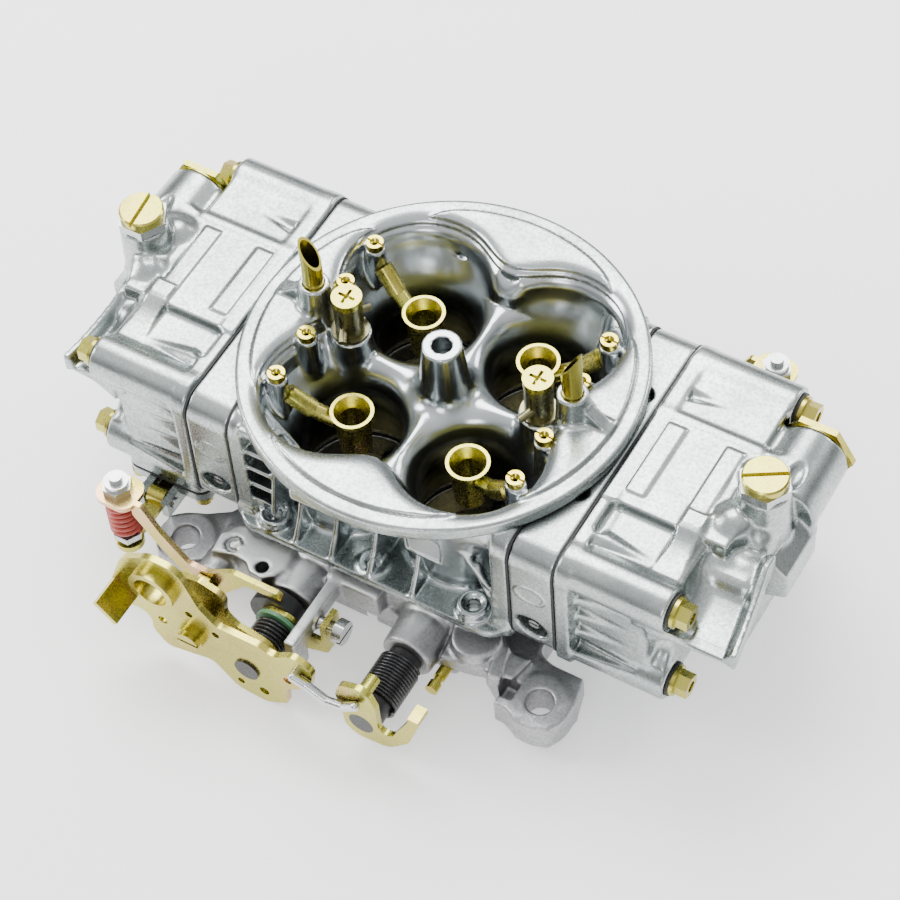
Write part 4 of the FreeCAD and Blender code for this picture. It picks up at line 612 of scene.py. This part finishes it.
class Shader:
    """A small helper for building one node material."""

    def __init__(self, name):
        self.material = bpy.data.materials.new(name)
        self.material.use_nodes = True
        self.tree = self.material.node_tree
        self.surface = self.tree.nodes["Principled BSDF"]
        self.place = self.node("ShaderNodeTexCoord").outputs["Object"]

    def node(self, kind, inputs=None, **settings):
        made = self.tree.nodes.new(kind)
        for key, value in settings.items():
            setattr(made, key, value)
        for key, value in (inputs or {}).items():
            self.set(made.inputs[key], value)
        return made

    def set(self, socket, value):
        if isinstance(value, bpy.types.NodeSocket):
            self.tree.links.new(value, socket)
        else:
            socket.default_value = value

    def noise(self, scale, detail=3.0, rough=0.55):
        inputs = {"Vector": self.place, "Scale": scale, "Detail": detail, "Roughness": rough}
        return self.node("ShaderNodeTexNoise", inputs).outputs["Fac"]

    def spread(self, value, low, high, to_low, to_high):
        inputs = {"Value": value, "From Min": low, "From Max": high, "To Min": to_low, "To Max": to_high}
        return self.node("ShaderNodeMapRange", inputs).outputs["Result"]

    def ramp(self, value, stops):
        made = self.node("ShaderNodeValToRGB", {"Fac": value})
        ramp = made.color_ramp
        while len(ramp.elements) < len(stops):
            ramp.elements.new(0.5)
        for element, (position, color) in zip(ramp.elements, stops):
            element.position = position
            element.color = (*color, 1)
        return made.outputs["Color"]

    def mix(self, factor, a, b, mode="MIX"):
        made = self.node("ShaderNodeMix", data_type="RGBA", blend_type=mode)
        self.set(made.inputs["Factor"], factor)
        for socket, value in ((made.inputs[6], a), (made.inputs[7], b)):
            self.set(socket, (*value, 1) if isinstance(value, tuple) and len(value) == 3 else value)
        return made.outputs[2]

    def maths(self, operation, a, b=0.0):
        made = self.node("ShaderNodeMath", operation=operation)
        self.set(made.inputs[0], a)
        self.set(made.inputs[1], b)
        return made.outputs[0]

    def attribute(self, name):
        return self.node("ShaderNodeAttribute", attribute_name=name).outputs["Fac"]

    def shade_in_corners(self, reach, power=1.0):
        """Ambient occlusion factor for painting shade into corners: 1 in the open, falling to 0 in narrow
        corners.
        """
        made = self.node("ShaderNodeAmbientOcclusion", {"Distance": reach}, samples=8)
        return self.maths("POWER", made.outputs["AO"], power)

    def bump(self, height, strength, distance):
        made = self.node("ShaderNodeBump", {"Height": height, "Strength": strength, "Distance": distance})
        self.set(self.surface.inputs["Normal"], made.outputs["Normal"])

    def finish(self, color, metallic, roughness):
        for key, value in (("Base Color", color), ("Metallic", metallic), ("Roughness", roughness)):
            if isinstance(value, tuple) and len(value) == 3:
                value = (*value, 1)
            self.set(self.surface.inputs[key], value)
        return self.material


def cast_metal(name, pale, dull, rough, grain, polished=False):
    s = Shader(name)
    patches = s.noise(45, 5, 0.65)
    mottle = s.noise(850, 4, 0.65)
    fine = s.noise(1600, 2, 0.6)
    color = s.ramp(patches, [(0.34, dull), (0.62, pale)])
    color = s.mix(s.spread(mottle, 0.40, 0.56, 0.45, 0.0), color, tuple(v * 0.66 for v in dull))
    # Painted shade: the cast colour is darkened towards near black in narrow corners and crevices, where
    # shade falls.
    shade = s.shade_in_corners(0.006, 1.0)
    color = s.mix(s.spread(shade, 0.1, 0.85, 0.5, 0.0), color, tuple(v * 0.16 for v in dull))
    color = s.mix(s.attribute("machined"), color, (0.66, 0.67, 0.67))
    roughness = s.spread(mottle, 0.3, 0.7, rough + 0.10, rough - 0.06)
    if polished:
        inner = s.attribute("polish")
        # Painted shade: the bore colour is darkened to near black deep down the barrels.
        deep = s.attribute("bore_shade")
        bell = s.mix(s.spread(deep, 0.3, 0.95, 0.0, 1.0), (0.46, 0.49, 0.50), (0.03, 0.031, 0.033))
        color = s.mix(inner, color, bell)
        roughness = s.node("ShaderNodeCombineColor", {"Red": roughness}).outputs[0]
        roughness = s.mix(inner, roughness, (0.23, 0.23, 0.23))
        roughness = s.node("ShaderNodeSeparateColor", {"Color": roughness}).outputs[0]
    height = s.maths("ADD", s.maths("MULTIPLY", mottle, 0.65), s.maths("MULTIPLY", fine, 0.35))
    if polished:
        height = s.maths("MULTIPLY", height, s.spread(inner, 0.0, 1.0, 1.0, 0.12))
    s.bump(height, grain, 0.0003)
    return s.finish(color, 1.0, roughness)


def plated(name, tones, rough, tint_scale=34):
    """Zinc or chromate plating with drifting tints."""
    s = Shader(name)
    drift = s.noise(tint_scale, 3, 0.6)
    count = len(tones) - 1
    stops = [(0.3 + 0.4 * i / max(count, 1), tone) for i, tone in enumerate(tones)]
    color = s.ramp(drift, stops)
    # Painted shade: the plating colour is darkened in narrow corners, where shade falls.
    shade = s.shade_in_corners(0.004, 0.8)
    color = s.mix(s.spread(shade, 0, 1, 0.3, 0.0), color, tuple(v * 0.2 for v in tones[0]))
    fine = s.noise(900, 2)
    s.bump(fine, 0.06, 0.0001)
    return s.finish(color, 1.0, s.spread(fine, 0.3, 0.7, rough - 0.05, rough + 0.06))


def plain(name, color, rough):
    """Paper, rubber, plastic or painted steel."""
    s = Shader(name)
    drift = s.noise(160, 4)
    tone = s.ramp(drift, [(0.3, tuple(v * 0.8 for v in color)), (0.7, color)])
    fine = s.noise(700, 3)
    s.bump(fine, 0.1, 0.0002)
    return s.finish(tone, 0.0, s.spread(fine, 0.3, 0.7, rough - 0.06, rough + 0.06))


def make_materials():
    gold = [(0.40, 0.36, 0.065), (0.50, 0.43, 0.10), (0.49, 0.47, 0.09), (0.62, 0.38, 0.20)]
    bright = (0.46, 0.50, 0.485), (0.31, 0.345, 0.34)
    dark = (0.47, 0.47, 0.48), (0.36, 0.36, 0.375)
    pink = [(0.46, 0.43, 0.07), (0.54, 0.45, 0.10), (0.68, 0.40, 0.26)]
    return {
        "cast_bright": cast_metal("cast_bright", *bright, 0.26, 0.19, polished=True),
        "cast_dark": cast_metal("cast_dark", *dark, 0.42, 0.5),
        "gasket": plain("gasket_paper", (0.02, 0.02, 0.022), 0.7),
        "gold_zinc": plated("gold_zinc", gold, 0.26),
        "olive_zinc": plated("olive_zinc", [(0.16, 0.155, 0.085), (0.30, 0.28, 0.15)], 0.3),
        "pink_zinc": plated("pink_zinc", pink, 0.26, 40),
        "brass": plated("brass", [(0.50, 0.41, 0.05), (0.62, 0.54, 0.10)], 0.2),
        "silver_zinc": plated("silver_zinc", [(0.44, 0.46, 0.46), (0.62, 0.63, 0.62)], 0.24),
        "black_steel": plain("black_steel", (0.012, 0.012, 0.014), 0.28),
        "red_spring": plain("red_spring", (0.42, 0.055, 0.04), 0.3),
        "black_rubber": plain("black_rubber", (0.02, 0.02, 0.02), 0.6),
        "black_plastic": plain("black_plastic", (0.013, 0.013, 0.014), 0.42),
        "green_plastic": plain("green_plastic", (0.10, 0.26, 0.13), 0.4),
    }


def dress(materials):
    slots = {entry["node"]: entry["material_slot"] for entry in RECORD["subparts"]}
    for name, node in NODES.items():
        node.data.materials.clear()
        node.data.materials.append(materials[slots[name]])
        for polygon in node.data.polygons:
            polygon.material_index = 0
    for piece in bpy.data.objects:
        if piece.name.endswith("_casting"):
            slot = "cast_dark" if piece.name.startswith("throttle_body") else "cast_bright"
            piece.data.materials.append(materials[slot])


# ---------------------------------------------------------------- studio

def studio():
    lowest = min(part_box(name)[0].z for name in NODES)
    bpy.ops.mesh.primitive_plane_add(size=6, location=(0, 0, lowest - 0.0005))
    floor = bpy.context.object
    floor.name = "studio_floor"
    s = Shader("floor_paper")
    s.bump(s.noise(60, 3), 0.02, 0.001)
    s.set(s.surface.inputs["Emission Color"], (1, 1, 1, 1))
    s.set(s.surface.inputs["Emission Strength"], 0.6)
    floor.data.materials.append(s.finish((0.93, 0.93, 0.93), 0.0, 0.9))
    world = bpy.data.worlds.new("studio_world")
    bpy.context.scene.world = world
    world.use_nodes = True
    tree = world.node_tree
    place = tree.nodes.new("ShaderNodeTexCoord").outputs["Generated"]
    parts = tree.nodes.new("ShaderNodeSeparateXYZ")
    tree.links.new(place, parts.inputs[0])
    ramp = tree.nodes.new("ShaderNodeValToRGB")
    tree.links.new(parts.outputs["Z"], ramp.inputs["Fac"])
    stops = [(0.0, 1.0), (0.28, 0.16), (0.55, 0.75), (1.0, 1.15)]
    while len(ramp.color_ramp.elements) < len(stops):
        ramp.color_ramp.elements.new(0.5)
    for element, (position, level) in zip(ramp.color_ramp.elements, stops):
        element.position = position
        element.color = (level, level, level * 1.01, 1)
    background = tree.nodes["Background"]
    tree.links.new(ramp.outputs["Color"], background.inputs["Color"])
    background.inputs["Strength"].default_value = 1.25
    lamps = (
        ("overhead", (-0.30, 0.40, 0.95), 0.7, 17.0),
        ("left_side", (-0.95, -0.35, 0.6), 0.45, 9.0),
        ("right_back", (0.55, 0.95, 0.6), 0.35, 5.0),
        ("front", (0.35, -1.1, 0.7), 0.4, 3.5),
    )
    for name, place, size, power in lamps:
        light = bpy.data.lights.new(name, "AREA")
        light.shape = "SQUARE"
        light.size = size
        light.energy = power
        lamp = bpy.data.objects.new(name, light)
        lamp.location = place
        lamp.rotation_euler = (Vector((0, 0, 0.04)) - Vector(place)).to_track_quat("-Z", "Y").to_euler()
        bpy.context.scene.collection.objects.link(lamp)


def camera():
    """Looks down from the throttle lever side. The angles are in radians and the lens in millimetres."""
    turn, tilt, roll = 0.6016, 0.9411, -0.092
    side = Vector((math.cos(turn), math.sin(turn), 0))
    rise = Vector((-math.sin(turn) * math.sin(tilt), math.cos(turn) * math.sin(tilt), math.cos(tilt)))
    back = Vector((math.sin(turn) * math.cos(tilt), -math.cos(turn) * math.cos(tilt), math.sin(tilt)))
    right = math.cos(roll) * side + math.sin(roll) * rise
    up = -math.sin(roll) * side + math.cos(roll) * rise
    data = bpy.data.cameras.new("camera")
    data.lens = 120.1
    data.sensor_width = 36
    data.clip_start = 0.05
    view = bpy.data.objects.new("camera", data)
    place = right * -0.002098 + up * 0.017767 + back * 1.07655
    view.matrix_world = Matrix.Translation(place) @ Matrix((right, up, back)).transposed().to_4x4()
    bpy.context.scene.collection.objects.link(view)
    bpy.context.scene.camera = view


build_castings()
dress(make_materials())
studio()
camera()
bpy.context.view_layer.update()
